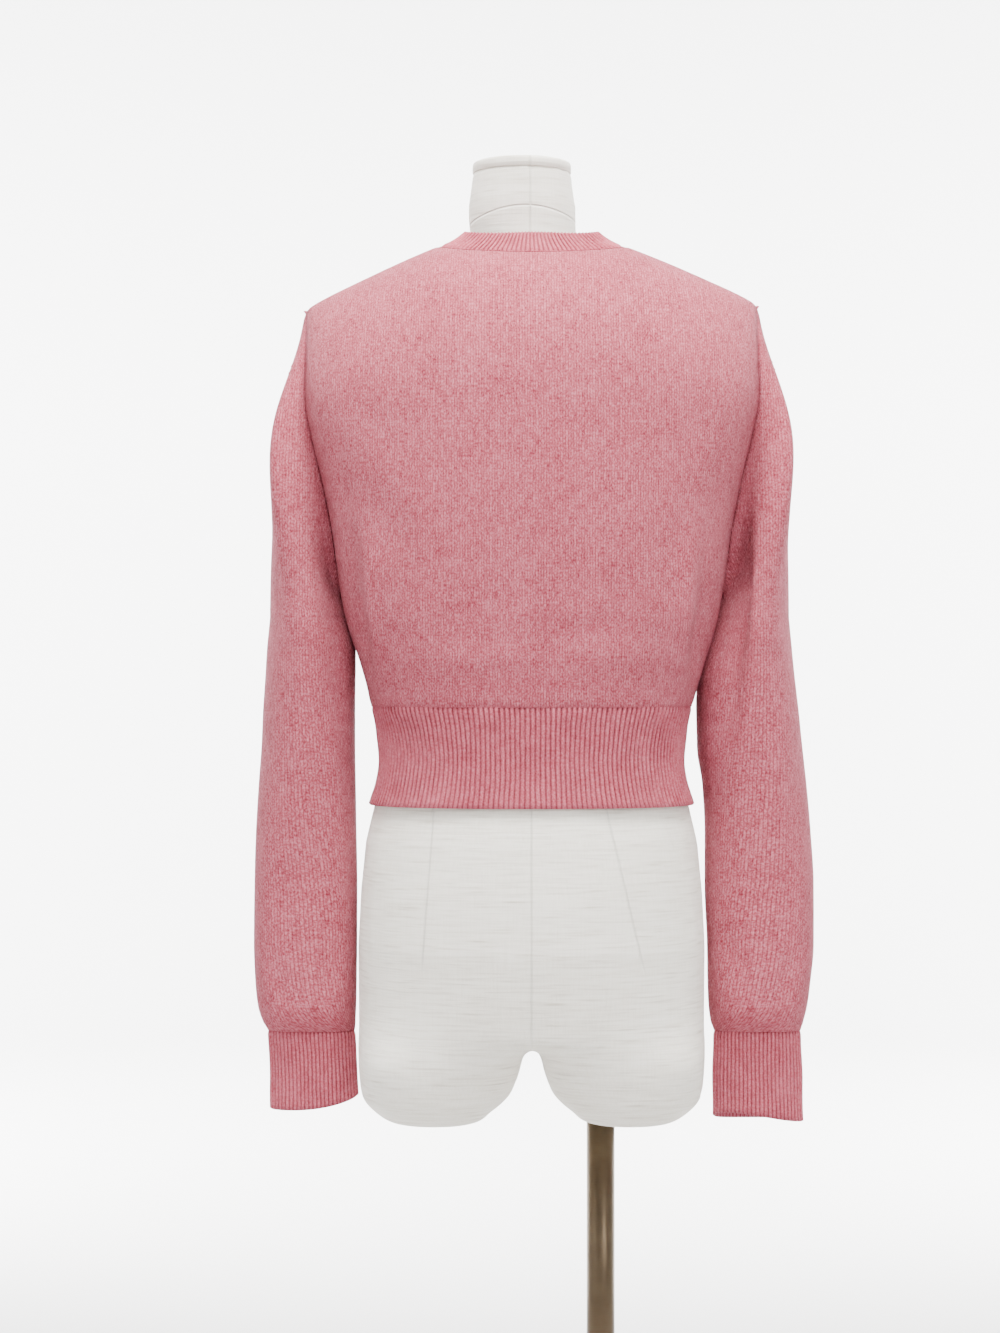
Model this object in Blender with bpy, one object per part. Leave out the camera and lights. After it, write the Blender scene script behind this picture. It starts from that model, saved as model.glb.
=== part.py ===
"""A cropped knitted cardigan on a limbless dress form.

Metres, +Z up. The front faces -Y, so the wearer's left is at +X. The origin is
on the ground in the middle of the whole object. Every knitted piece is a wall
of its own, cut from one body surface or one sleeve surface, and neighbours are
a seam's gap apart.
"""

import math

import bmesh
import bpy
import numpy as np

# Cloth
CLOTH = 0.0025            # thickness of the knitted wall
SEAM = 0.0003             # gap between two pieces at a seam
RIB_DEPTH = 0.0008        # how far the furrow between two ribs is sunk
RIB_PITCH = 0.0038        # from rib to rib on hem, neckband and front bands
GARMENT_SHIFT = 0.002     # the cardigan hangs this far to the wearer's left

# Heights of the garment's main points
HEM_BOTTOM = 0.585
HEM_TOP = 0.664
UNDERARM = 0.752
NECK_POINT = 1.0345       # where the shoulder seam meets the neckline
NAPE_DROP = 0.0085        # the back neck lies this far below the neck point
THROAT_DROP = 0.0695      # the front neck lies this far below the neck point
CUFF_TOP = 0.400

# Widths on the body surface, from its middle
NECK_HALF = 0.075
SHOULDER_HALF = 0.183
LEFT_SHOULDER_DROP = 0.004
ARMHOLE_TURN = 25.0       # degrees that the armhole bites into back and front
BAND_HALF = 0.016         # half the width of a front band
LAP = CLOTH + 0.0006      # the buttonhole band stands this far over the other
LAP_START = 0.050         # distance from the middle where the right front rises
LAP_FLAT = 0.002          # it is fully raised this far beside its band
ARMHOLE_ROUND = 0.8       # below 1 the armhole is fuller than a plain wave
WIDEST_SLOPE = 1.2        # the shoulder's slope runs on this far past its end

# Neckband
NECKBAND_IN = {"side": 0.022, "back": 0.018, "front": 0.0125}
NECKBAND_UP = {"side": 0.0125, "back": 0.018, "front": 0.0215}
NECK_MIDDLE = (0.002, -0.012)

# Buttons
BUTTON_RADIUS = 0.0075
BUTTON_THICKNESS = 0.0032
BUTTON_GAP = 0.0006
BUTTON_HEIGHTS = (0.600, 0.662, 0.724, 0.786, 0.848, 0.910)
BUTTON_SIDES = 12
BUTTON_FOOT = 0.80        # radius of its flat underside, as a part of the whole
# Its rings from the rim to the dish, as parts of its radius and thickness.
BUTTON_RINGS = ((1.0, 0.40), (0.93, 1.0), (0.70, 0.80))
BUTTON_DISH = 0.72        # thickness in the middle

# Mesh counts
BACK_SHOULDER_COLUMNS = 8
BACK_NECK_COLUMNS = 12
FRONT_SHOULDER_COLUMNS = 8
FRONT_NECK_COLUMNS = 8
PLAIN_BAND_COLUMNS = 5
SIDE_SEAM_ROWS = 4
ARMHOLE_ROWS = 12
RIBS_BACK = 88
RIBS_CUFF = 54            # round one cuff, about 3.1 mm apart
TURN_HOLD = 7.0           # how long the columns of a panel keep their place at the hem
EDGE_FADE = 2.0           # how fast the bend of a panel's side dies out across it
POINTS_PER_PLAIN = 4      # rib points to each plain point of the inner wall
CAP_ROWS = 5
FORM_SIDES = 36
PLATE_SIDES = 48
POLE_SIDES = 24
CAP_SIDES = 28
FINE_STEPS = 721          # points of a curve that is measured along its length
NORMAL_TURN = 0.2         # degrees to either side for a surface's direction
NORMAL_RISE = 0.0006      # and this far up and down
HALVINGS = 26
FARTHEST = 0.3            # no point of the form is this far from its axis
SHARP_ANGLE = 40          # degrees
TINY = 1e-9

# Seams
MITRE_LIMIT = 0.5         # the sharpest seam: its rim is two cloths deep
NECKBAND_SMOOTHING = 24   # rounds that ease the corners of the band's top edge
HEM_LEVELS = np.array((HEM_BOTTOM, 0.622, HEM_TOP))
ARMHOLE_PARTS = np.linspace(0.0, 1.0, ARMHOLE_ROWS + 1)
SIDE_PARTS = np.linspace(0.0, 1.0, SIDE_SEAM_ROWS + 1)[:-1]

# How the sleeve leaves the armhole: outwards, along the depth and downwards
LEAVE_OUT_AT_TOP = 0.18      # the empty cap drops nearly straight from the shoulder
LEAVE_TOP_POWER = 3.0
LEAVE_OUT_BELOW = 0.55
LEAVE_DEPTH = 0.30
LEAVE_DOWN = 1.0
LEAVE_LEVEL_AT_SIDES = 0.45
LEAVE_LEVEL_BELOW = 0.30
LOFT_PULL = 1.05          # how strongly the cap keeps to those directions

# Folds fade out towards the seams
FOLD_END = 0.35           # share of a fold's depth at its two ends
FOLD_REACH = 0.5          # folds reach further to front and back than across
FADE_ABOVE_HEM = 0.02
FADE_BELOW_NECK = 0.05
FADE_ABOVE_CUFF = 0.03
FADE_AT_CAP = 0.5

# Dress form and stand
FORM_NECK_TOP = 1.1005
NECK_CAP_TOP = 1.106
CROTCH = 0.396
LEG_BOTTOM = 0.330
POLE_RADIUS = 0.01135
POLE_X = -0.054
BASE_RADIUS = 0.172
BASE_THICKNESS = 0.009
BASE_BEVEL = 0.0025
CAP_BEVEL = 0.0011
CROTCH_POWER = 2.6        # how broad and flat the crotch is from back to front
THIGH_SPREAD = 50.0       # degrees by which the outer half reaches round a thigh

SIDES = (("left", 1.0), ("right", -1.0))


class Table:
    """Rows of named columns, read smoothly between the rows of its first column."""

    def __init__(self, names, rows):
        self.names = names
        self.values = np.array(rows, float)

    def at(self, name, place):
        """The value of one column at a place, on a curve that never overshoots."""
        known = self.values[:, 0]
        value = self.values[:, self.names.index(name)]
        place = np.clip(place, known[0], known[-1])
        step = np.diff(known)
        slope = np.diff(value) / step
        tangent = np.zeros(len(known))
        for i in range(1, len(known) - 1):
            if slope[i - 1] * slope[i] > 0:
                before = 2 * step[i] + step[i - 1]
                after = step[i] + 2 * step[i - 1]
                mixed = before / slope[i - 1] + after / slope[i]
                tangent[i] = (before + after) / mixed
        tangent[0] = slope[0]
        tangent[-1] = slope[-1]
        row = np.clip(np.searchsorted(known, place, side="right") - 1, 0, len(step) - 1)
        part = (place - known[row]) / step[row]
        rise = part * part * (3 - 2 * part)
        start = part * (1 - part) ** 2 * step[row] * tangent[row]
        end = part * part * (part - 1) * step[row] * tangent[row + 1]
        return value[row] * (1 - rise) + value[row + 1] * rise + start + end


# The body of the garment: one row for each level, outer sizes from its middle.
# Above the underarm a level runs along the slope of the shoulder.
BODY = Table(
    ("level", "half_width", "back", "front", "squareness"),
    (
        (0.585, 0.1318, 0.0895, 0.0870, 2.3),
        (0.604, 0.1262, 0.0872, 0.0855, 2.3),
        (0.622, 0.1238, 0.0860, 0.0850, 2.3),
        (0.645, 0.1255, 0.0865, 0.0860, 2.4),
        (0.664, 0.1300, 0.0885, 0.0880, 2.5),
        (0.680, 0.1330, 0.0905, 0.0915, 2.6),
        (0.701, 0.1385, 0.0935, 0.0970, 2.8),
        (0.720, 0.1445, 0.0955, 0.1020, 2.9),
        (0.737, 0.1490, 0.0975, 0.1062, 3.0),
        (0.752, 0.1525, 0.0987, 0.1090, 3.0),
        (0.780, 0.1580, 0.1015, 0.1140, 3.0),
        (0.800, 0.1612, 0.1030, 0.1165, 3.0),
        (0.820, 0.1648, 0.1042, 0.1178, 3.0),
        (0.860, 0.1728, 0.1056, 0.1180, 3.0),
        (0.900, 0.1810, 0.1060, 0.1180, 3.0),
        (0.940, 0.1860, 0.1060, 0.1180, 3.0),
        (0.990, 0.1850, 0.1060, 0.1180, 2.8),
        (1.0345, 0.1830, 0.1060, 0.1180, 2.6),
    ),
)

# The shoulder seam, from the neck point out to the sleeve.
SHOULDER = Table(
    ("across", "height"),
    (
        (0.075, 1.0345),
        (0.105, 1.0228),
        (0.140, 1.0080),
        (0.165, 0.9972),
        (0.183, 0.9885),
        (0.205, 0.9770),
    ),
)

# Where back and front start to round over towards the shoulder, and how fully.
CAP_BACK = {"start": 0.900, "fullness": 2.3}
CAP_FRONT = {"start": 0.840, "fullness": 1.5}

# Each sleeve hangs in level rings. "outer" and "inner" are distances from the
# middle plane, "depth" is half its size from front to back.
SLEEVE_NAMES = ("height", "outer", "inner", "depth", "middle")
SLEEVE_LEFT = Table(
    SLEEVE_NAMES,
    (
        (0.3365, 0.2146, 0.1428, 0.0180, -0.012),
        (0.3650, 0.2150, 0.1436, 0.0175, -0.012),
        (0.4000, 0.2172, 0.1450, 0.0180, -0.012),
        (0.4070, 0.2205, 0.1450, 0.0212, -0.012),
        (0.4200, 0.2245, 0.1444, 0.0245, -0.011),
        (0.4400, 0.2265, 0.1440, 0.0258, -0.010),
        (0.4700, 0.2276, 0.1436, 0.0268, -0.009),
        (0.5200, 0.2270, 0.1434, 0.0300, -0.008),
        (0.5600, 0.2258, 0.1440, 0.0340, -0.007),
        (0.6000, 0.2236, 0.1446, 0.0385, -0.006),
        (0.6300, 0.2214, 0.1450, 0.0425, -0.005),
        (0.6600, 0.2200, 0.1450, 0.0455, -0.004),
        (0.6900, 0.2178, 0.1450, 0.0490, -0.003),
        (0.7050, 0.2168, 0.1452, 0.0505, -0.003),
        (0.7200, 0.2152, 0.1484, 0.0518, -0.002),
        (0.7350, 0.2136, 0.1528, 0.0530, -0.002),
    ),
)
SLEEVE_RIGHT = Table(
    SLEEVE_NAMES,
    (
        (0.3260, 0.2196, 0.1456, 0.0180, -0.012),
        (0.3600, 0.2187, 0.1456, 0.0175, -0.012),
        (0.4000, 0.2180, 0.1458, 0.0180, -0.012),
        (0.4070, 0.2195, 0.1440, 0.0212, -0.012),
        (0.4200, 0.2225, 0.1422, 0.0245, -0.011),
        (0.4400, 0.2250, 0.1413, 0.0258, -0.010),
        (0.4700, 0.2276, 0.1408, 0.0268, -0.009),
        (0.5200, 0.2274, 0.1388, 0.0300, -0.008),
        (0.5600, 0.2250, 0.1388, 0.0340, -0.007),
        (0.6000, 0.2215, 0.1368, 0.0385, -0.006),
        (0.6300, 0.2180, 0.1326, 0.0425, -0.005),
        (0.6600, 0.2145, 0.1325, 0.0455, -0.004),
        (0.6900, 0.2108, 0.1352, 0.0490, -0.003),
        (0.7050, 0.2092, 0.1392, 0.0505, -0.003),
        (0.7200, 0.2076, 0.1442, 0.0518, -0.002),
        (0.7350, 0.2060, 0.1488, 0.0530, -0.002),
    ),
)
SLEEVE_SQUARENESS = 2.2
SLEEVE_ROWS = (0.712, 0.685, 0.65, 0.605, 0.555, 0.50, 0.455, 0.425, 0.409)
CUFF_ROWS = 1

# The largest soft folds. Each runs between two points, given by its distance
# from the middle plane and its height; "near" is the y that it lies closest to.
FOLD_NAMES = ("x0", "z0", "x1", "z1", "near", "depth", "width")
BODY_FOLDS = (
    (0.148, 0.740, 0.139, 0.690, 0.060, 0.0030, 0.014),
    (0.126, 0.790, 0.128, 0.685, 0.085, -0.0020, 0.012),
    (-0.142, 0.740, -0.131, 0.690, 0.065, 0.0030, 0.014),
    (-0.118, 0.790, -0.119, 0.670, 0.085, -0.0020, 0.012),
    (0.136, 0.840, 0.100, 0.780, 0.085, 0.0022, 0.018),
    (-0.136, 0.850, -0.104, 0.760, 0.085, 0.0022, 0.018),
    (0.125, 0.800, 0.070, 0.760, -0.100, 0.0024, 0.018),
    (-0.125, 0.805, -0.078, 0.765, -0.100, 0.0024, 0.018),
)
LEFT_SLEEVE_FOLDS = (
    (0.166, 0.850, 0.157, 0.640, 0.050, 0.0050, 0.014),
    (0.200, 0.760, 0.204, 0.600, 0.045, 0.0022, 0.014),
    (0.180, 0.560, 0.206, 0.490, 0.032, 0.0020, 0.014),
    (0.170, 0.840, 0.180, 0.690, -0.058, 0.0035, 0.015),
    (0.206, 0.530, 0.178, 0.460, -0.034, 0.0022, 0.014),
)
RIGHT_SLEEVE_FOLDS = (
    (-0.166, 0.880, -0.154, 0.620, 0.056, 0.0075, 0.016),
    (-0.186, 0.860, -0.178, 0.640, 0.056, -0.0018, 0.013),
    (-0.160, 0.600, -0.152, 0.450, 0.034, 0.0030, 0.013),
    (-0.172, 0.840, -0.168, 0.680, -0.058, 0.0035, 0.015),
    (-0.205, 0.540, -0.176, 0.465, -0.034, 0.0022, 0.014),
)

SLEEVES = {
    "left": (SLEEVE_LEFT, LEFT_SLEEVE_FOLDS),
    "right": (SLEEVE_RIGHT, RIGHT_SLEEVE_FOLDS),
}

# The dress form's torso: a row for each level, measured as the body's rows are.
FORM = Table(
    ("level", "half_width", "back", "front", "squareness"),
    (
        (0.402, 0.1398, 0.0925, 0.0805, 2.5),
        (0.430, 0.1400, 0.0960, 0.0820, 2.4),
        (0.465, 0.1405, 0.1000, 0.0840, 2.3),
        (0.520, 0.1378, 0.0965, 0.0850, 2.3),
        (0.560, 0.1335, 0.0900, 0.0840, 2.25),
        (0.585, 0.1275, 0.0840, 0.0815, 2.2),
        (0.605, 0.1205, 0.0800, 0.0785, 2.2),
        (0.630, 0.1155, 0.0765, 0.0755, 2.2),
        (0.665, 0.1130, 0.0745, 0.0740, 2.2),
        (0.700, 0.1170, 0.0780, 0.0800, 2.2),
        (0.750, 0.1270, 0.0850, 0.0950, 2.3),
        (0.800, 0.1370, 0.0900, 0.1050, 2.4),
        (0.840, 0.1430, 0.0930, 0.1080, 2.5),
        (0.880, 0.1520, 0.0940, 0.1080, 2.6),
        (0.920, 0.1630, 0.0940, 0.1080, 2.6),
        (0.960, 0.1690, 0.0940, 0.1070, 2.5),
        (1.0314, 0.1690, 0.0940, 0.1060, 2.4),
    ),
)
FORM_UNDER = 0.00345      # the form's shoulder lies this far below the seam
FORM_CAP_BACK = {"start": 0.900, "fullness": 1.7}
FORM_CAP_FRONT = {"start": 0.840, "fullness": 1.3}
FORM_ROWS = (
    0.402, 0.430, 0.470, 0.515, 0.555, 0.590, 0.630, 0.680, 0.750, 0.820,
    0.880, 0.930, 0.958, 0.975, 0.990, 1.003, 1.016, 1.0275,
)
NECK = Table(
    ("height", "half_width", "depth", "x", "y"),
    (
        (1.0345, 0.0448, 0.0390, 0.0035, -0.0150),
        (1.0390, 0.0440, 0.0385, 0.0050, -0.0150),
        (1.0460, 0.0432, 0.0380, 0.0065, -0.0150),
        (1.0560, 0.0438, 0.0385, 0.0075, -0.0150),
        (1.0700, 0.0440, 0.0400, 0.0077, -0.0155),
        (1.0850, 0.0415, 0.0400, 0.0077, -0.0160),
        (1.1005, 0.0400, 0.0400, 0.0077, -0.0160),
    ),
)
NECK_ROWS = (1.0345, 1.0390, 1.0460, 1.0560, 1.0700, 1.0850, 1.1005)
NECK_BLEND = 0.955        # from here up the neck is part of the torso's rings
NECK_BLEND_POWER = 9
NECK_BLEND_SIZE = 0.98    # the neck inside the torso's rings is a little slimmer

# The two short thigh ends below the crotch.
THIGH = Table(
    ("height", "inner", "outer", "back", "front", "squareness"),
    (
        (0.3300, 0.0385, 0.1165, 0.0500, 0.0450, 2.3),
        (0.3365, 0.0335, 0.1255, 0.0635, 0.0570, 2.3),
        (0.3446, 0.0235, 0.1340, 0.0730, 0.0650, 2.5),
        (0.3530, 0.0160, 0.1378, 0.0780, 0.0695, 2.8),
        (0.3690, 0.0100, 0.1392, 0.0825, 0.0725, 3.4),
        (0.3850, 0.0066, 0.1397, 0.0850, 0.0740, 4.4),
        (0.4020, 0.0050, 0.1398, 0.0860, 0.0745, 4.6),
    ),
)
THIGH_ROWS = (0.3850, 0.3690, 0.3530, 0.3446, 0.3365, 0.3300)
CROTCH_POINTS = 7

COLOURS = {
    "knit": ((0.62, 0.32, 0.37), 0.9, 0.0),
    "button": ((0.66, 0.36, 0.42), 0.35, 0.0),
    "linen": ((0.74, 0.72, 0.68), 0.85, 0.0),
    "bronze": ((0.22, 0.15, 0.09), 0.38, 0.9),
}

UP = np.array((0.0, 0.0, 1.0))


def unit(vectors):
    """Vectors of length one."""
    length = np.linalg.norm(vectors, axis=-1, keepdims=True)
    return vectors / np.maximum(length, TINY)


def ease(part):
    """Goes from nought to one with no kink at either end."""
    part = np.clip(part, 0.0, 1.0)
    return part * part * (3 - 2 * part)


# The body surface

def cap_depth(level, full, cap, top):
    """The depth from front or back, rounding over to nothing at the shoulder."""
    part = np.clip((level - cap["start"]) / (top - cap["start"]), 0.0, 1.0)
    return full * (1 - part ** cap["fullness"]) ** (1 / cap["fullness"])


def shoulder_height(across):
    """Height of the shoulder seam; the wearer's left one sits a little lower."""
    height = SHOULDER.at("height", np.abs(across))
    out = np.clip((across - NECK_HALF) / (SHOULDER_HALF - NECK_HALF), 0.0, WIDEST_SLOPE)
    return height - LEFT_SHOULDER_DROP * out


def real_height(across, level):
    """The height of a point, from its level and its distance from the middle."""
    above = np.maximum(level - UNDERARM, 0.0) / (NECK_POINT - UNDERARM)
    return np.where(
        level > UNDERARM,
        UNDERARM + above * (shoulder_height(across) - UNDERARM),
        level,
    )


def body_points(turn, level):
    """Points of the outer surface. Turn is 0 at the back's middle, 90 at the left."""
    turn = np.radians(np.asarray(turn, float))
    level = np.asarray(level, float)
    power = BODY.at("squareness", level)
    sine = np.sin(turn)
    cosine = np.cos(turn)
    radius = (np.abs(sine) ** power + np.abs(cosine) ** power) ** (-1 / power)
    back = cap_depth(level, BODY.at("back", level), CAP_BACK, NECK_POINT)
    front = cap_depth(level, BODY.at("front", level), CAP_FRONT, NECK_POINT)
    across = BODY.at("half_width", level) * radius * sine
    depth = np.where(cosine > 0, back, front) * radius * cosine
    return np.stack(
        (across + GARMENT_SHIFT, depth, real_height(across, level)), axis=-1
    )


def turn_at(across, level, front):
    """The turn of the point at a distance from the middle, on a level."""
    power = BODY.at("squareness", level)
    part = np.clip(np.abs(across) / BODY.at("half_width", level), 0.0, 1.0)
    rest = (1 - part ** power) ** (1 / power)
    turn = np.degrees(np.arctan2(part, rest))
    turn = np.where(front, 180 - turn, turn)
    return np.sign(across + TINY) * turn


def body_normals(turn, level):
    """Outward normals, from two short steps on the surface."""
    level = np.minimum(level, NECK_POINT - 2 * NORMAL_RISE)
    along = body_points(turn + NORMAL_TURN, level) - body_points(turn - NORMAL_TURN, level)
    above = body_points(turn, level + NORMAL_RISE)
    below = body_points(turn, level - NORMAL_RISE)
    return unit(np.cross(above - below, along))


def even_turns(level, start, stop, count):
    """Turns at equal steps along a level ring."""
    fine = np.linspace(start, stop, FINE_STEPS)
    points = body_points(fine, np.full_like(fine, level))
    run = np.concatenate(([0.0], np.cumsum(np.linalg.norm(np.diff(points, axis=0), axis=1))))
    return np.interp(np.linspace(0.0, run[-1], count), run, fine)


# Folds

def fold_shift(points, folds):
    """How far each point goes inwards for the soft folds near it."""
    shift = np.zeros(points.shape[:-1])
    for row in folds:
        fold = dict(zip(FOLD_NAMES, row))
        start = np.array((fold["x0"], fold["near"], fold["z0"]))
        end = np.array((fold["x1"], fold["near"], fold["z1"]))
        run = end - start
        part = np.clip((points - start) @ run / (run @ run), 0.0, 1.0)
        away = points - (start + part[..., None] * run)
        away[..., 1] *= FOLD_REACH
        distance = np.linalg.norm(away, axis=-1)
        fade = FOLD_END + (1 - FOLD_END) * np.sin(np.pi * part)
        shift += fold["depth"] * fade * np.exp(-((distance / fold["width"]) ** 2))
    return shift


# Walls

def inner_corners(rows, columns, closed):
    """The quads of a grid of points, by row and column."""
    last = columns if closed else columns - 1
    return [
        (r * columns + c, r * columns + (c + 1) % columns,
         (r + 1) * columns + (c + 1) % columns, (r + 1) * columns + c)
        for r in range(rows - 1)
        for c in range(last)
    ]


def rim(outer_row, inner_row, closed):
    """Faces between a rib edge and the plainer edge of the inner wall."""
    spans = len(inner_row) if closed else len(inner_row) - 1
    ratio = (len(outer_row) if closed else len(outer_row) - 1) // spans
    faces = []
    for span in range(spans):
        near = inner_row[span]
        far = inner_row[(span + 1) % len(inner_row)]
        places = [outer_row[(span * ratio + k) % len(outer_row)] for k in range(ratio + 1)]
        if ratio == 1:
            faces.append((places[0], places[1], far, near))
            continue
        half = ratio // 2
        for k in range(ratio):
            faces.append((places[k], places[k + 1], near if k < half else far))
        faces.append((places[half], far, near))
    return faces


def make_object(name, points, faces, finish):
    """A mesh object with its faces turned outwards and its own material."""
    mesh = bpy.data.meshes.new(name)
    mesh.from_pydata([tuple(point) for point in points], [], faces)
    shape = bmesh.new()
    shape.from_mesh(mesh)
    bmesh.ops.recalc_face_normals(shape, faces=shape.faces)
    bmesh.ops.triangulate(shape, faces=shape.faces)
    if shape.calc_volume(signed=True) < 0:
        bmesh.ops.reverse_faces(shape, faces=shape.faces)
    shape.to_mesh(mesh)
    shape.free()
    mesh.shade_smooth()
    mesh.set_sharp_from_angle(angle=math.radians(SHARP_ANGLE))
    colour, roughness, metallic = COLOURS[finish]
    material = bpy.data.materials.new(name)
    material.use_nodes = True
    shader = material.node_tree.nodes["Principled BSDF"]
    shader.inputs["Base Color"].default_value = (*colour, 1.0)
    shader.inputs["Roughness"].default_value = roughness
    shader.inputs["Metallic"].default_value = metallic
    mesh.materials.append(material)
    thing = bpy.data.objects.new(name, mesh)
    bpy.context.collection.objects.link(thing)
    return thing


def wall(name, outer, inner, closed, finish="knit"):
    """A closed wall between an outer and an inner grid of points."""
    rows, columns = outer.shape[:2]
    plain_rows, plain_columns = inner.shape[:2]
    start = rows * columns
    faces = inner_corners(rows, columns, closed)
    faces += [
        tuple(start + corner for corner in reversed(quad))
        for quad in inner_corners(plain_rows, plain_columns, closed)
    ]
    outer_index = np.arange(start).reshape(rows, columns)
    inner_index = start + np.arange(plain_rows * plain_columns).reshape(
        plain_rows, plain_columns
    )
    for row in (0, -1):
        faces += rim(list(outer_index[row]), list(inner_index[row]), closed)
    if not closed:
        for column in (0, -1):
            faces += rim(list(outer_index[:, column]), list(inner_index[:, column]), False)
    points = np.concatenate((outer.reshape(-1, 3), inner.reshape(-1, 3)))
    return make_object(name, points, faces, finish)


class Piece:
    """The outer points of a piece, the way to its inside, and its seams' shifts."""

    def __init__(self, grid, normals):
        self.grid = grid
        self.normals = normals
        self.reach = np.ones(grid.shape[:2])
        self.shift = np.zeros_like(grid)

    def outer(self):
        """The outer points, drawn back from the seams."""
        return self.grid + self.shift

    def inner(self, step=1):
        """The inner points, a cloth's thickness behind the outer ones."""
        depth = self.normals * (self.reach * CLOTH)[..., None]
        return (self.outer() - depth)[:, ::step]

    def open_seam(self, edge):
        """Draws one whole edge back by half a seam."""
        place = {"bottom": 0, "top": -1, "first": (slice(None), 0),
                 "last": (slice(None), -1)}[edge]
        inside = {"bottom": 1, "top": -2, "first": (slice(None), 1),
                  "last": (slice(None), -2)}[edge]
        line = self.grid[place]
        away = across_seam(line, self.normals[place], self.grid[inside] - line, False)
        self.shift[place] += away * SEAM / 2

    def open_ring(self, row):
        """Draws a closed edge back by half a seam."""
        inside = self.grid[1 if row == 0 else -2]
        line = self.grid[row]
        away = across_seam(line, self.normals[row], inside - line, True)
        self.shift[row] += away * SEAM / 2


def across_seam(line, facing, inside, closed):
    """Directions across a seam, towards the inside of the piece."""
    if closed:
        tangent = np.roll(line, -1, axis=0) - np.roll(line, 1, axis=0)
    else:
        tangent = np.gradient(line, axis=0)
    away = unit(np.cross(facing, tangent))
    return away * np.sign(np.sum(away * inside, axis=-1, keepdims=True))


# Panels of the body

def armhole(part):
    """Turn from the side and level along the armhole, from underarm to shoulder."""
    level = UNDERARM + (NECK_POINT - UNDERARM) * (1 - np.cos(np.pi * part)) / 2
    bite = ARMHOLE_TURN * np.sin(np.pi * part) ** ARMHOLE_ROUND
    return bite, level


def side_edge(front):
    """Turns and levels of a panel's side: the side seam, then the armhole."""
    bite, level = armhole(ARMHOLE_PARTS)
    bite = np.where(ARMHOLE_PARTS > 1 - TINY, 0.0, bite)
    seam_levels = HEM_TOP + (UNDERARM - HEM_TOP) * SIDE_PARTS
    turn = np.concatenate((np.full(len(SIDE_PARTS), 90.0), 90.0 - bite))
    if front:
        turn = 180 - turn
    return turn, np.concatenate((seam_levels, level))


def top_edge(front, shoulder_columns, neck_columns):
    """Turns and levels of the top, from the middle of the neck to the shoulder."""
    end = math.acos(BAND_HALF / NECK_HALF) if front else math.pi / 2
    angle = np.linspace(end, 0.0, neck_columns + 1)
    drop = THROAT_DROP if front else NAPE_DROP
    neck_level = NECK_POINT - drop * np.sin(angle)
    neck_across = NECK_HALF * np.cos(angle)
    neck_turn = turn_at(neck_across, neck_level, front)
    shoulder_across = np.linspace(NECK_HALF, SHOULDER_HALF, shoulder_columns + 1)[1:]
    shoulder_level = np.full(shoulder_columns, NECK_POINT)
    shoulder_turn = turn_at(shoulder_across, shoulder_level, front)
    turn = np.concatenate((neck_turn, shoulder_turn))
    return turn, np.concatenate((neck_level, shoulder_level))


def blend_patch(bottom, top, first, last):
    """Fills a four-sided patch of turns and levels from its edges."""
    rows = len(first)
    columns = len(bottom)
    # The columns fan out just below the neckline, so that none runs along it.
    up = np.linspace(0.0, 1.0, rows)[:, None] ** np.array((TURN_HOLD, 1.0))
    run = np.linspace(0.0, 1.0, columns)[None, :, None]
    across = (1 - up)[:, None] * bottom[None] + up[:, None] * top[None]
    first_bend = first - (1 - up) * first[0] - up * first[-1]
    last_bend = last - (1 - up) * last[0] - up * last[-1]
    across += first_bend[:, None] * (1 - run) ** EDGE_FADE
    return across + last_bend[:, None] * run ** EDGE_FADE


def pairs(turn, level):
    """Turns and levels side by side."""
    return np.stack((turn, np.broadcast_to(level, turn.shape)), axis=-1)


def back_patch():
    """Turns and levels of the back panel, from the wearer's right to the left."""
    top_turn, top_level = top_edge(False, BACK_SHOULDER_COLUMNS, BACK_NECK_COLUMNS // 2)
    top = pairs(
        np.concatenate((-top_turn[:0:-1], top_turn)),
        np.concatenate((top_level[:0:-1], top_level)),
    )
    bottom = pairs(even_turns(HEM_TOP, -90.0, 90.0, len(top)), HEM_TOP)
    side_turn, side_level = side_edge(False)
    return blend_patch(bottom, top, pairs(-side_turn, side_level), pairs(side_turn, side_level))


def front_patch():
    """Turns and levels of the left front, from its band to its side."""
    top = pairs(*top_edge(True, FRONT_SHOULDER_COLUMNS, FRONT_NECK_COLUMNS))
    side_turn, side_level = side_edge(True)
    start = float(turn_at(BAND_HALF, HEM_TOP, True))
    bottom = pairs(even_turns(HEM_TOP, start, 90.0, len(top)), HEM_TOP)
    neck_level = top[0, 1]
    spread = (side_level - HEM_TOP) / (NECK_POINT - HEM_TOP)
    band_level = HEM_TOP + (neck_level - HEM_TOP) * spread
    band_turn = turn_at(np.full(len(band_level), BAND_HALF), band_level, True)
    return blend_patch(bottom, top, pairs(band_turn, band_level), pairs(side_turn, side_level))


def lap_lift(points):
    """How far the right front rises towards the overlap of the bands."""
    across = points[..., 0] - GARMENT_SHIFT
    return LAP * ease((across + LAP_START) / (LAP_START - BAND_HALF - LAP_FLAT))


def seam_flat(normals, axis):
    """Normals with no part along one axis, for a seam that lies across it."""
    flat = normals.copy()
    flat[..., axis] = 0.0
    return unit(flat)


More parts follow.
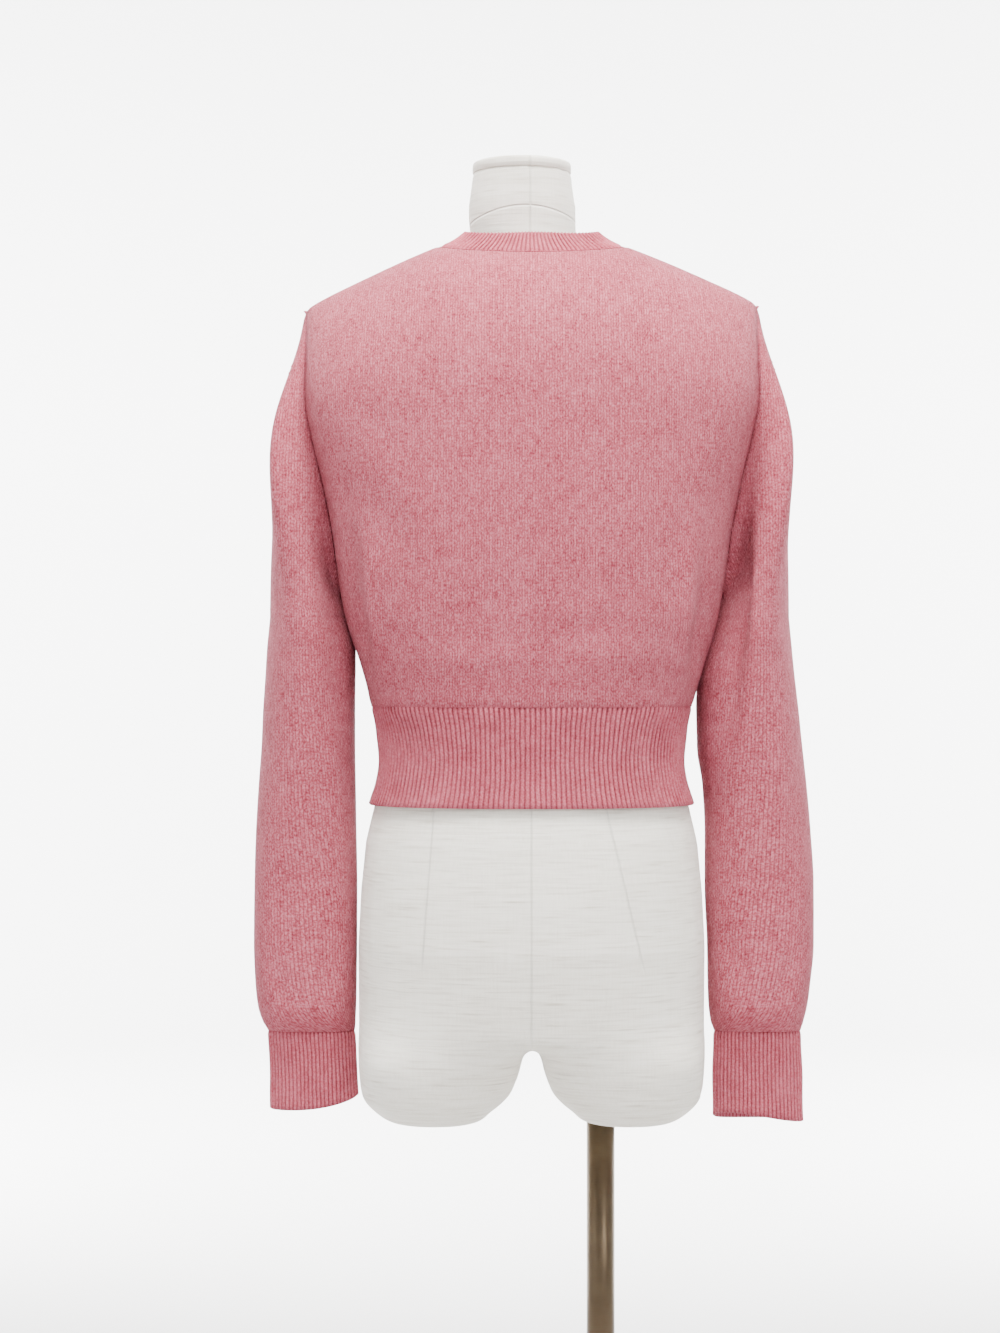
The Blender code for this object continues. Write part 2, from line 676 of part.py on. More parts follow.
def sleeve_direction(angle, side):
    """The way that the sleeve leaves the armhole: mostly out at its sides."""
    out = np.abs(np.sin(angle))
    low = np.clip(-np.cos(angle), 0.0, 1.0)
    over = LEAVE_OUT_AT_TOP + (1 - LEAVE_OUT_AT_TOP) * out**LEAVE_TOP_POWER
    under = LEAVE_OUT_BELOW + (1 - LEAVE_OUT_BELOW) * out
    outwards = np.where(np.cos(angle) > 0, over, under)
    direction = np.stack(
        (
            side * outwards,
            LEAVE_DEPTH * np.sin(angle),
            LEAVE_LEVEL_AT_SIDES * out + LEAVE_LEVEL_BELOW * low - LEAVE_DOWN,
        ),
        axis=-1,
    )
    return unit(direction)


def panel(patch, front, side):
    """One knitted panel from its turns and levels."""
    turn = patch[..., 0] * side
    level = patch[..., 1]
    grid = body_points(turn, level)
    normals = body_normals(turn, level)
    normals[0] = seam_flat(normals[0], 2)
    fold = fold_shift(grid, BODY_FOLDS)
    fade = ease((level - HEM_TOP) / FADE_ABOVE_HEM)
    fade = fade * ease((NECK_POINT - level) / FADE_BELOW_NECK)
    grid = grid - normals * (fold * fade)[..., None]
    if front and side < 0:
        grid = grid + normals * lap_lift(grid)[..., None]
    return Piece(grid, normals)


def mitre(own, other):
    """The shared way in at a seam, and how much longer it is than a cloth is thick."""
    shared = unit(own + other)
    slant = np.sum(shared * own, axis=-1)
    return shared, 1 / np.maximum(slant, MITRE_LIMIT)


def build_panels():
    """Back and fronts with their side, shoulder and armhole seams."""
    back = panel(back_patch(), False, 1.0)
    fronts = {"left": panel(front_patch(), True, 1.0), "right": panel(front_patch(), True, -1.0)}
    back.open_seam("bottom")
    for front in fronts.values():
        front.open_seam("bottom")
        front.open_seam("first")
    armholes = {}
    for side_name, side in SIDES:
        front = fronts[side_name]
        column = -1 if side > 0 else 0
        back_shoulder = BACK_SHOULDER_COLUMNS + 1
        back_top = slice(-back_shoulder, None) if side > 0 else slice(0, back_shoulder)
        front_top = slice(-FRONT_SHOULDER_COLUMNS - 1, None)
        # Side and shoulder seams lie in the plane between back and front.
        for piece, edge, top, way in (
            (back, column, back_top, 1.0),
            (front, -1, front_top, -1.0),
        ):
            side_rows = slice(0, SIDE_SEAM_ROWS + 1)
            piece.normals[side_rows, edge] = seam_flat(piece.normals[side_rows, edge], 1)
            piece.normals[-1, top] = seam_flat(piece.normals[-1, top], 1)
            piece.shift[side_rows, edge, 1] += way * SEAM / 2
            piece.shift[-1, top, 1] += way * SEAM / 2

        # The loop runs from the shoulder down the back and up the front.
        places = [[(back, -1 - k, column)] for k in range(ARMHOLE_ROWS + 1)]
        places += [[(front, SIDE_SEAM_ROWS + k, -1)] for k in range(1, ARMHOLE_ROWS)]
        places[0].append((front, -1, -1))
        places[ARMHOLE_ROWS].append((front, SIDE_SEAM_ROWS, -1))
        loop = np.array([spot[0][0].grid[spot[0][1], spot[0][2]] for spot in places])
        own = np.array([spot[0][0].normals[spot[0][1], spot[0][2]] for spot in places])
        angle = np.pi * np.concatenate((1 - ARMHOLE_PARTS[::-1], 1 + ARMHOLE_PARTS[1:-1]))
        leave = sleeve_direction(angle, side)
        tangent = np.roll(loop, -1, axis=0) - np.roll(loop, 1, axis=0)
        sleeve_normal = unit(np.cross(leave, tangent)) * side
        shared, reach = mitre(own, sleeve_normal)
        away = across_seam(loop, shared, leave, True)
        for k, spots in enumerate(places):
            for piece, row, edge in spots:
                piece.normals[row, edge] = shared[k]
                piece.reach[row, edge] = reach[k]
                piece.shift[row, edge] -= away[k] * SEAM / 2
        armholes[side_name] = {
            "loop": loop, "normals": shared, "reach": reach, "away": away, "angle": angle,
        }
    return back, fronts, armholes


# Sleeves and cuffs

def sleeve_ring(table, side, height, angle):
    """Points of a level ring of a sleeve; angle 0 is its outermost point."""
    outer = table.at("outer", height)
    inner = table.at("inner", height)
    power = SLEEVE_SQUARENESS
    radius = (np.abs(np.cos(angle)) ** power + np.abs(np.sin(angle)) ** power) ** (-1 / power)
    across = (outer + inner) / 2 + (outer - inner) / 2 * radius * np.cos(angle)
    depth = table.at("middle", height) + table.at("depth", height) * radius * np.sin(angle)
    return np.stack((side * across, depth, np.full_like(across, height)), axis=-1)


def grid_normals(grid, side):
    """Outward normals of a tube whose rows run down and whose columns go round."""
    around = np.roll(grid, -1, axis=1) - np.roll(grid, 1, axis=1)
    down = np.gradient(grid, axis=0)
    return unit(np.cross(down, around)) * side


def build_sleeve(name, table, side, armhole_seam, folds):
    """A stockinette sleeve, lofted from its armhole into level rings."""
    loop, angle = armhole_seam["loop"], armhole_seam["angle"]
    top = table.values[-1, 0]
    ring = sleeve_ring(table, side, top, angle)
    reach = np.linalg.norm(ring - loop, axis=1)[:, None]
    start = sleeve_direction(angle, side) * reach * LOFT_PULL
    down = -UP * reach * LOFT_PULL
    rows = []
    for part in np.linspace(0.0, 1.0, CAP_ROWS + 1):
        rise = ease(part)
        leave = part * (1 - part) ** 2
        arrive = part * part * (part - 1)
        rows.append(loop * (1 - rise) + ring * rise + start * leave + down * arrive)
    heights = [*SLEEVE_ROWS, CUFF_TOP]
    rows += [sleeve_ring(table, side, height, angle) for height in heights]
    grid = np.array(rows)
    normals = grid_normals(grid, side)
    fade = ease((grid[..., 2] - CUFF_TOP) / FADE_ABOVE_CUFF)
    fade[0] = 0.0
    fade[1] *= FADE_AT_CAP
    grid = grid - normals * (fold_shift(grid, folds) * fade)[..., None]
    sleeve = Piece(grid, grid_normals(grid, side))
    sleeve.normals[0] = armhole_seam["normals"]
    sleeve.normals[-1] = seam_flat(sleeve.normals[-1], 2)
    sleeve.reach[0] = armhole_seam["reach"]
    sleeve.shift[0] += armhole_seam["away"] * SEAM / 2
    sleeve.open_ring(-1)
    wall(name, sleeve.outer(), sleeve.inner(), True)


def ribbed(name, piece, closed):
    """A ribbed strip: furrows in the outer points over a plain inside."""
    furrow = np.zeros(piece.grid.shape[1])
    furrow[1::2] = RIB_DEPTH
    outer = piece.outer() - piece.normals * furrow[None, :, None]
    wall(name, outer, piece.inner(POINTS_PER_PLAIN), closed)


def build_cuff(name, table, side):
    """A ribbed cuff below its sleeve."""
    fine = np.linspace(0.0, 2 * np.pi, FINE_STEPS)
    line = sleeve_ring(table, side, CUFF_TOP, fine)
    run = np.concatenate(([0.0], np.cumsum(np.linalg.norm(np.diff(line, axis=0), axis=1))))
    angle = np.interp(np.linspace(0.0, run[-1], RIBS_CUFF * 2 + 1)[:-1], run, fine)
    bottom = table.values[0, 0]
    heights = np.linspace(CUFF_TOP, bottom, CUFF_ROWS + 1)
    grid = np.array([sleeve_ring(table, side, height, angle) for height in heights])
    cuff = Piece(grid, grid_normals(grid, side))
    cuff.normals[0] = seam_flat(cuff.normals[0], 2)
    cuff.open_ring(0)
    ribbed(name, cuff, True)


# Hem, front bands and neckband

def build_hem():
    """The ribbed hem: one length at the back and one on each front."""
    plans = {"hem_rib_back": (even_turns(HEM_TOP, -90.0, 90.0, RIBS_BACK * 2 + 1), False)}
    start = float(turn_at(BAND_HALF, HEM_TOP, True))
    fine = np.linspace(90.0, start, FINE_STEPS)
    steps = np.diff(body_points(fine, np.full(FINE_STEPS, HEM_TOP)), axis=0)
    ribs = 2 * round(np.linalg.norm(steps, axis=1).sum() / RIB_PITCH / 2)
    front = even_turns(HEM_TOP, start, 90.0, ribs * 2 + 1)
    plans["hem_rib_left"] = (front, False)
    plans["hem_rib_right"] = (-front, True)
    for name, (turns, lifted) in plans.items():
        at_top = turns
        rows = []
        row_normals = []
        for level in HEM_LEVELS:
            turn = np.array(at_top)
            if name != "hem_rib_back":
                # The front edge stays straight beside its band on every level.
                edge = abs(float(turn_at(BAND_HALF, level, True)))
                stretch = (edge - 90.0) / (start - 90.0)
                turn = np.sign(at_top) * (90.0 + (np.abs(at_top) - 90.0) * stretch)
            levels = np.full(len(turn), level)
            rows.append(body_points(turn, levels))
            row_normals.append(body_normals(turn, levels))
        grid = np.array(rows)
        normals = np.array(row_normals)
        normals[-1] = seam_flat(normals[-1], 2)
        for column in (0, -1):
            if abs(abs(at_top[column]) - 90.0) < TINY:
                normals[:, column] = seam_flat(normals[:, column], 1)
        if lifted:
            grid = grid + normals * lap_lift(grid)[..., None]
        strip = Piece(grid, normals)
        for edge in ("top", "first", "last"):
            strip.open_seam(edge)
        ribbed(name, strip, False)


def band_levels(front_plan):
    """The levels of a band's rows: the hem's, then its panel's."""
    return np.concatenate((HEM_LEVELS[:-1], front_plan[:, 0, 1]))


def front_band(lifted, columns):
    """A front band on the middle line, from the hem to the neckline."""
    levels = band_levels(front_patch())
    across = np.linspace(-BAND_HALF, BAND_HALF, columns)
    turn = np.array([turn_at(across, np.full(columns, level), True) for level in levels])
    grid = body_points(turn, np.repeat(levels[:, None], columns, axis=1))
    neck = NECK_POINT - THROAT_DROP * np.sqrt(1 - (across / NECK_HALF) ** 2)
    neck_turn = turn_at(across, neck, True)
    grid[-1] = body_points(neck_turn, neck)
    normals = body_normals(turn, np.repeat(levels[:, None], columns, axis=1))
    if lifted:
        grid = grid + normals * LAP
    band = Piece(grid, normals)
    band.open_seam("first")
    band.open_seam("last")
    return band


def neckband_rise(seam):
    """The way in and up from each point of the neckline to the band's top edge."""
    arm = seam - np.array((*NECK_MIDDLE, 0.0))
    arm[:, 2] = 0.0
    arm = unit(arm)
    back = np.where(arm[:, 1] > 0, arm[:, 1] ** 2, 0.0)
    front = np.where(arm[:, 1] <= 0, arm[:, 1] ** 2, 0.0)
    share = {"side": arm[:, 0] ** 2, "back": back, "front": front}
    inward = sum(NECKBAND_IN[key] * share[key] for key in share)
    upward = sum(NECKBAND_UP[key] * share[key] for key in share)
    return UP * upward[:, None] - arm * inward[:, None]


def build_neckline(over, under, back, fronts):
    """Joins the tops of all panels and bands into one line, and bands it."""
    right, left = fronts["right"], fronts["left"]
    last = FRONT_NECK_COLUMNS
    first_back = BACK_SHOULDER_COLUMNS
    last_back = back.grid.shape[1] - 1 - BACK_SHOULDER_COLUMNS
    spots = [(over, column) for column in range(over.grid.shape[1] - 1, -1, -1)]
    spots += [(right, column) for column in range(1, last + 1)]
    spots += [(back, column) for column in range(first_back + 1, last_back + 1)]
    spots += [(left, column) for column in range(last - 1, -1, -1)]
    spots += [(under, column) for column in range(under.grid.shape[1] - 2, -1, -1)]
    # Each of these shares its point with the piece beside it, which is in the line.
    twins = (
        (right, 0, over, 0),
        (back, first_back, right, last),
        (left, last, back, last_back),
        (under, under.grid.shape[1] - 1, left, 0),
    )
    seam = np.array([piece.grid[-1, column] for piece, column in spots])
    own = np.array([piece.normals[-1, column] for piece, column in spots])
    rise = neckband_rise(seam)
    out = unit(np.cross(np.gradient(seam, axis=0), rise))
    out = out * np.sign(np.sum(out * own, axis=-1, keepdims=True))
    shared, reach = mitre(own, out)
    away = across_seam(seam, shared, rise, False)
    for k, (piece, column) in enumerate(spots):
        set_neck_edge(piece, column, shared[k], reach[k], away[k])
    for target, column, piece, twin in twins:
        k = spots.index((piece, twin))
        set_neck_edge(target, column, shared[k], reach[k], away[k])
    return build_neckband(seam, shared * reach[:, None], away)


def set_neck_edge(piece, column, normal, reach, away):
    """Gives a point of a panel's neckline the way in that it shares with the band."""
    piece.normals[-1, column] = normal
    piece.reach[-1, column] = reach
    piece.shift[-1, column] -= away * SEAM / 2


def build_neckband(seam, depth, away):
    """A ribbed strip round the neck; its ends lap over each other at the front."""
    places = [np.zeros(1)]
    for k, length in enumerate(np.linalg.norm(np.diff(seam, axis=0), axis=1)):
        steps = max(POINTS_PER_PLAIN * round(length / RIB_PITCH / 2), 1)
        places.append(k + np.arange(1, steps + 1) / steps)
    place = np.concatenate(places)
    line = between(seam, place)
    depth = between(depth, place)
    reach = np.linalg.norm(depth, axis=1)
    smooth = smooth_line(line)
    rise = neckband_rise(line)
    out = unit(np.cross(np.gradient(smooth, axis=0), rise))
    out = out * np.sign(np.sum(out * depth, axis=-1, keepdims=True))
    band = Piece(np.array((line, smooth + rise)), np.array((depth / reach[:, None], out)))
    band.reach[0] = reach
    band.shift[0] += between(away, place) * SEAM / 2
    ribbed("neckband", band, False)
    return band


def between(rows, place):
    """Rows of a list at whole and broken places."""
    known = np.arange(len(rows))
    return np.stack([np.interp(place, known, rows[:, k]) for k in range(3)], axis=1)


def smooth_line(line):
    """A line with its corners eased by averaging neighbours."""
    eased = line.copy()
    for _ in range(NECKBAND_SMOOTHING):
        eased[1:-1] = (eased[:-2] + 2 * eased[1:-1] + eased[2:]) / 4
    return eased


def build_button(name, place, normal):
    """A turned button that lies just clear of the band."""
    rings = [(BUTTON_RADIUS * BUTTON_FOOT, 0.0)]
    rings += [(BUTTON_RADIUS * wide, BUTTON_THICKNESS * high) for wide, high in BUTTON_RINGS]
    right = unit(np.cross(UP, normal))
    up = np.cross(normal, right)
    base = place + normal * BUTTON_GAP
    points = [base]
    for radius, height in rings:
        for step in range(BUTTON_SIDES):
            angle = 2 * math.pi * step / BUTTON_SIDES
            points.append(
                base + normal * height
                + (right * math.cos(angle) + up * math.sin(angle)) * radius
            )
    points.append(base + normal * BUTTON_THICKNESS * BUTTON_DISH)
    faces = []
    for step in range(BUTTON_SIDES):
        after = (step + 1) % BUTTON_SIDES
        faces.append((0, 1 + after, 1 + step))
        for ring in range(len(rings) - 1):
            low = 1 + ring * BUTTON_SIDES
            high = low + BUTTON_SIDES
            faces.append((low + step, low + after, high + after, high + step))
        high = 1 + (len(rings) - 1) * BUTTON_SIDES
        faces.append((high + step, high + after, len(points) - 1))
    make_object(name, points, faces, "button")


# Dress form and stand

def form_inside(across, depth, height):
    """Whether a point lies in the form's torso."""
    ridge = shoulder_height(across) - FORM_UNDER
    top = NECK_POINT - FORM_UNDER
    level = height
    if height > UNDERARM:
        level = UNDERARM + (height - UNDERARM) * (top - UNDERARM) / (ridge - UNDERARM)
    if level >= top:
        return False
    half = float(FORM.at("half_width", level))
    power = float(FORM.at("squareness", level))
    if abs(across) >= half:
        return False
    if depth > 0:
        full = float(cap_depth(level, FORM.at("back", level), FORM_CAP_BACK, top))
    else:
        full = float(cap_depth(level, FORM.at("front", level), FORM_CAP_FRONT, top))
    return abs(depth) < full * (1 - (abs(across) / half) ** power) ** (1 / power)


def form_radius(angle, height):
    """Distance from the form's axis to its torso, by halving."""
    low = 0.0
    high = FARTHEST
    for _ in range(HALVINGS):
        middle = (low + high) / 2
        if form_inside(middle * math.sin(angle), middle * math.cos(angle), height):
            low = middle
        else:
            high = middle
    return low


def neck_radius(angle, height):
    """Distance from the form's axis to the ellipse of its neck."""
    x, y = float(NECK.at("x", height)), float(NECK.at("y", height))
    wide, deep = float(NECK.at("half_width", height)), float(NECK.at("depth", height))
    sine, cosine = math.sin(angle), math.cos(angle)
    a = (sine / wide) ** 2 + (cosine / deep) ** 2
    b = -2 * (x * sine / wide ** 2 + y * cosine / deep ** 2)
    c = (x / wide) ** 2 + (y / deep) ** 2 - 1
    return (-b + math.sqrt(b * b - 4 * a * c)) / (2 * a)


def form_ring(height):
    """One ring of the form, from the middle of the back to the wearer's left."""
    points = []
    top = NECK_POINT - FORM_UNDER
    for step in range(FORM_SIDES):
        angle = 2 * math.pi * step / FORM_SIDES
        if height < NECK_BLEND:
            radius = form_radius(angle, height)
        elif height < top:
            power = NECK_BLEND_POWER
            torso = form_radius(angle, height)
            neck = neck_radius(angle, max(height, NECK_ROWS[0])) * NECK_BLEND_SIZE
            radius = (torso ** power + neck ** power) ** (1 / power)
        else:
            radius = neck_radius(angle, height)
        points.append(
            (GARMENT_SHIFT + radius * math.sin(angle), radius * math.cos(angle), height)
        )
    return points


def thigh_ring(side, height, count):
    """One ring of a thigh end, in the order of the form's rings."""
    inner = float(THIGH.at("inner", height))
    outer = float(THIGH.at("outer", height))
    middle = (inner + outer) / 2
    half = (outer - inner) / 2
    points = []
    for step in range(count):
        angle = math.radians(count_angle(step, count))
        depth = THIGH.at("back" if math.cos(angle) > 0 else "front", height)
        power = float(THIGH.at("squareness", height))
        radius = (abs(math.sin(angle)) ** power + abs(math.cos(angle)) ** power) ** (-1 / power)
        across = middle + half * radius * math.sin(angle)
        points.append(
            (GARMENT_SHIFT + side * across, float(depth) * radius * math.cos(angle), height)
        )
    return points


def count_angle(step, count):
    """Even turns, started so that the outer half has as many points as the torso."""
    outer = FORM_SIDES // 2
    if step <= outer:
        return -THIGH_SPREAD + (180 + 2 * THIGH_SPREAD) * step / outer
    rest = count - outer
    return 180 + THIGH_SPREAD + (180 - 2 * THIGH_SPREAD) * (step - outer) / rest


def build_form():
    """Torso, neck and two short thigh ends in one smooth closed shape."""
    points = []
    rings = []
    for height in (*FORM_ROWS, *NECK_ROWS):
        rings.append(list(range(len(points), len(points) + FORM_SIDES)))
        points += form_ring(height)
    faces = []
    for low, high in zip(rings, rings[1:]):
        for step in range(FORM_SIDES):
            after = (step + 1) % FORM_SIDES
            faces.append((low[step], low[after], high[after], high[step]))
    faces.append(tuple(rings[-1]))

    # The line between the legs dips from the back to the crotch and rises again.
    half = FORM_SIDES // 2
    back = np.array(points[rings[0][0]])
    front = np.array(points[rings[0][half]])
    saddle = []
    for step in range(1, CROTCH_POINTS + 1):
        part = step / (CROTCH_POINTS + 1)
        place = back * (1 - part) + front * part
        dip = (1 - abs(2 * part - 1) ** CROTCH_POWER) * (FORM_ROWS[0] - CROTCH)
        saddle.append(len(points))
        points.append(tuple(place - UP * dip))
    for side in (1, -1):
        if side > 0:
            start = rings[0][:half + 1] + saddle[::-1]
        else:
            start = [rings[0][0]] + rings[0][:half - 1:-1] + saddle[::-1]
        above = start
        for height in THIGH_ROWS:
            below = list(range(len(points), len(points) + len(start)))
            points += thigh_ring(side, height, len(start))
            for step in range(len(start)):
                after = (step + 1) % len(start)
                faces.append((below[step], below[after], above[after], above[step]))
            above = below
        faces.append(tuple(above))
    make_object("dress_form", points, faces, "linen")


def turned(name, profile, place, sides, finish):
    """A round solid from pairs of radius and height, closed at both ends."""
    points = []
    for radius, height in profile:
        for step in range(sides):
            angle = 2 * math.pi * step / sides
            points.append(
                (place[0] + radius * math.cos(angle), place[1] + radius * math.sin(angle), height)
            )
    faces = [tuple(range(sides)), tuple(range(len(points) - sides, len(points)))]
    for ring in range(len(profile) - 1):
        for step in range(sides):
            after = (step + 1) % sides
            low = ring * sides
            high = low + sides
            faces.append((low + step, low + after, high + after, high + step))
    make_object(name, points, faces, finish)


def build_stand():
    """The pole below one thigh end, its round foot, and the cap of the neck."""
    turned(
        "base_plate",
        (
            (BASE_RADIUS - BASE_BEVEL, 0.0),
            (BASE_RADIUS, BASE_BEVEL),
            (BASE_RADIUS, BASE_THICKNESS - BASE_BEVEL),
            (BASE_RADIUS - BASE_BEVEL, BASE_THICKNESS),
        ),
        (0.0, 0.0),
        PLATE_SIDES,
        "bronze",
    )
    turned(
        "pole",
        ((POLE_RADIUS, BASE_THICKNESS + SEAM), (POLE_RADIUS, LEG_BOTTOM - SEAM)),
        (POLE_X, 0.0),
        POLE_SIDES,
        "bronze",
    )
    wide = float(NECK.at("half_width", FORM_NECK_TOP))
    place = (
        GARMENT_SHIFT + float(NECK.at("x", FORM_NECK_TOP)),
        float(NECK.at("y", FORM_NECK_TOP)),
    )
    low = FORM_NECK_TOP + SEAM
    turned(
        "neck_cap",
        (
            (wide - CAP_BEVEL, low),
            (wide, low + CAP_BEVEL),
            (wide, NECK_CAP_TOP - CAP_BEVEL),
            (wide - CAP_BEVEL, NECK_CAP_TOP),
        ),
        place,
        CAP_SIDES,
        "linen",
    )


def build_cardigan():
    """Every knitted piece, and the buttons."""
    back, fronts, armholes = build_panels()
    band_ribs = 2 * round(BAND_HALF / RIB_PITCH)
    over = front_band(True, band_ribs * 2 + 1)
    under = front_band(False, PLAIN_BAND_COLUMNS)
    neckband = build_neckline(over, under, back, fronts)
    wall("back", back.outer(), back.inner(), False)
    for side_name, front in fronts.items():
        wall("front_" + side_name, front.outer(), front.inner(), False)
    build_hem()
    ribbed("buttonhole_band", over, False)
    wall("button_band", under.outer(), under.inner(), False)

    for side_name, side in SIDES:
        table, folds = SLEEVES[side_name]
        build_sleeve("sleeve_" + side_name, table, side, armholes[side_name], folds)
        build_cuff("cuff_" + side_name, table, side)

    middle = over.grid.shape[1] // 2
    line = over.grid[:, middle]
    facing = over.normals[:, middle]
    for number, height in enumerate(BUTTON_HEIGHTS, start=1):
        place = np.array([np.interp(height, line[:, 2], line[:, k]) for k in range(3)])
        normal = np.array([np.interp(height, line[:, 2], facing[:, k]) for k in range(3)])
        build_button(f"button_{number}", place, unit(normal))
    column = int(np.argmax(neckband.grid[0, :, 0] < GARMENT_SHIFT))
    place = (neckband.grid[0, column] + neckband.grid[1, column]) / 2
    build_button(f"button_{len(BUTTON_HEIGHTS) + 1}", place, neckband.normals[1, column])


for old in list(bpy.data.objects):
    bpy.data.objects.remove(old, do_unlink=True)

build_cardigan()
build_form()
build_stand()
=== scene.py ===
import math

import bmesh
import bpy
import numpy as np
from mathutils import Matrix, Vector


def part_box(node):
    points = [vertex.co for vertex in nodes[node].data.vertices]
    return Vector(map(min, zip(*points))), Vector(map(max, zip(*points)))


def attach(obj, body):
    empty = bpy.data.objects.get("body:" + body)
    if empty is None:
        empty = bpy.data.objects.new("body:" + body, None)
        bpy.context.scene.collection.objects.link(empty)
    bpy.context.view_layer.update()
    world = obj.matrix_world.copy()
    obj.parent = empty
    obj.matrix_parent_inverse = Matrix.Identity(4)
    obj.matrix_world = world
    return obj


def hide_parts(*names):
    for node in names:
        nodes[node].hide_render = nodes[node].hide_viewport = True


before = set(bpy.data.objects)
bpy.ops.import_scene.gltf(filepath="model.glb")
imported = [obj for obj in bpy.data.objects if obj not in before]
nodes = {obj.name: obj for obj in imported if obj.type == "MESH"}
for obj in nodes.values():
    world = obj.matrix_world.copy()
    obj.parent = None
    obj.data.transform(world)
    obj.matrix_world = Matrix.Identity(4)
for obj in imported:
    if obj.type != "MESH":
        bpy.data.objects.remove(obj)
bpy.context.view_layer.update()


# The studio: a pale floor that curves up into a round backdrop, a large soft
# lamp over the garment, weaker ones round it, two that light the wall behind,
# and the camera straight behind the back, a little above the hem.
VIEW_FROM = (0.0275, 2.2, 0.6957)
VIEW_DISTANCE = 2.2
VIEW_HEIGHT = 1.0797          # metres that the picture shows at the garment
SENSOR = 24.0


def plain_material(name, colour, roughness, metallic=0.0):
    """A material of one colour whose shader's sockets can be set further."""
    material = bpy.data.materials.new(name)
    material.use_nodes = True
    shader = material.node_tree.nodes["Principled BSDF"]
    shader.inputs["Base Color"].default_value = (*colour, 1.0)
    shader.inputs["Roughness"].default_value = roughness
    shader.inputs["Metallic"].default_value = metallic
    return material, shader


def mesh_object(name, points, faces, material, uvs=None):
    """A smooth mesh object in the scene, with one material and perhaps a UV map."""
    mesh = bpy.data.meshes.new(name)
    mesh.from_pydata([tuple(map(float, point)) for point in points], [], faces)
    if uvs is not None:
        layer = mesh.uv_layers.new(name="UVMap")
        corner = np.zeros(len(mesh.loops), dtype=np.int32)
        mesh.loops.foreach_get("vertex_index", corner)
        layer.data.foreach_set("uv", np.asarray(uvs, np.float32)[corner].ravel())
    mesh.shade_smooth()
    mesh.materials.append(material)
    thing = bpy.data.objects.new(name, mesh)
    bpy.context.collection.objects.link(thing)
    return thing


def ring_points(profile, centre, sides):
    """Level rings of points, one for each pair of radius and height."""
    points = []
    for radius, height in profile:
        for step in range(sides):
            angle = 2 * math.pi * step / sides
            points.append((centre[0] + radius * math.cos(angle),
                           centre[1] + radius * math.sin(angle), height))
    return points


def ring_faces(rings, sides):
    """The four-sided faces between rings of points."""
    faces = []
    for ring in range(rings - 1):
        for step in range(sides):
            after = (step + 1) % sides
            low = ring * sides
            high = low + sides
            faces.append((low + step, low + after, high + after, high + step))
    return faces


def turned_mesh(name, profile, centre, sides, material):
    """A round piece from pairs of radius and height, closed at its ends."""
    points = ring_points(profile, centre, sides)
    ends = [tuple(reversed(range(sides))), tuple(range(len(points) - sides, len(points)))]
    return mesh_object(name, points, ends + ring_faces(len(profile), sides), material)


FLOOR_RINGS = (0.02, 0.8, 1.8)
FLOOR_RADIUS = 2.9
COVE_RADIUS = 1.3
COVE_STEPS = 12
WALL_TOP = 4.2
BACKDROP_SIDES = 96
backdrop_material, shader = plain_material("backdrop_paper", (0.60, 0.60, 0.60), 0.9)
bend = [math.radians(90.0 * step / COVE_STEPS) for step in range(COVE_STEPS + 1)]
cove = [(FLOOR_RADIUS + COVE_RADIUS * math.sin(a), COVE_RADIUS * (1 - math.cos(a))) for a in bend]
floor = [(radius, 0.0) for radius in FLOOR_RINGS]
rings = [*floor, *cove, (FLOOR_RADIUS + COVE_RADIUS, WALL_TOP)]
backdrop_faces = [tuple(range(BACKDROP_SIDES)), *ring_faces(len(rings), BACKDROP_SIDES)]
backdrop = mesh_object("backdrop", ring_points(rings, (0.0, 0.0), BACKDROP_SIDES),
                       backdrop_faces, backdrop_material)


def soft_lamp(name, place, target, size, power, colour):
    """A square lamp that faces a target."""
    data = bpy.data.lights.new(name, "AREA")
    data.shape = "RECTANGLE"
    data.size, data.size_y = size
    data.energy = power
    data.color = colour
    lamp = bpy.data.objects.new(name, data)
    bpy.context.collection.objects.link(lamp)
    lamp.location = place
    toward = np.array(target) - np.array(place)
    flat = math.hypot(toward[0], toward[1])
    lamp.rotation_euler = (math.atan2(flat, -toward[2]), 0.0, math.atan2(-toward[0], toward[1]))


WHITE = (1.0, 1.0, 1.0)
LAMPS = (                     # name, place, target, size, power and colour
    ("lamp_above", (0.0, 0.70, 2.6), (0.0, 0.0, 0.95), (1.4, 1.0), 180.0, (1.0, 0.985, 0.965)),
    ("lamp_key", (-1.3, 2.3, 1.75), (0.0, 0.0, 0.75), (0.9, 0.9), 30.0, WHITE),
    ("lamp_picture_left", (2.0, 1.6, 1.2), (0.0, 0.0, 0.7), (1.2, 1.6), 9.0, WHITE),
    ("lamp_front", (0.0, -2.0, 1.9), (0.0, 0.0, 0.8), (1.8, 1.3), 30.0, (1.0, 0.99, 0.97)),
    ("lamp_wall_left", (1.9, -1.3, 1.4), (0.57, -4.2, 0.6), (1.6, 1.6), 700.0, WHITE),
    ("lamp_wall_right", (-1.9, -1.3, 1.4), (-0.57, -4.2, 0.6), (1.6, 1.6), 700.0, WHITE),
)
for lamp_row in LAMPS:
    soft_lamp(*lamp_row)

AIR_LIGHT = 0.12
world = bpy.data.worlds.new("studio_air")
world.use_nodes = True
world.node_tree.nodes["Background"].inputs["Color"].default_value = (*WHITE, 1.0)
world.node_tree.nodes["Background"].inputs["Strength"].default_value = AIR_LIGHT
bpy.context.scene.world = world

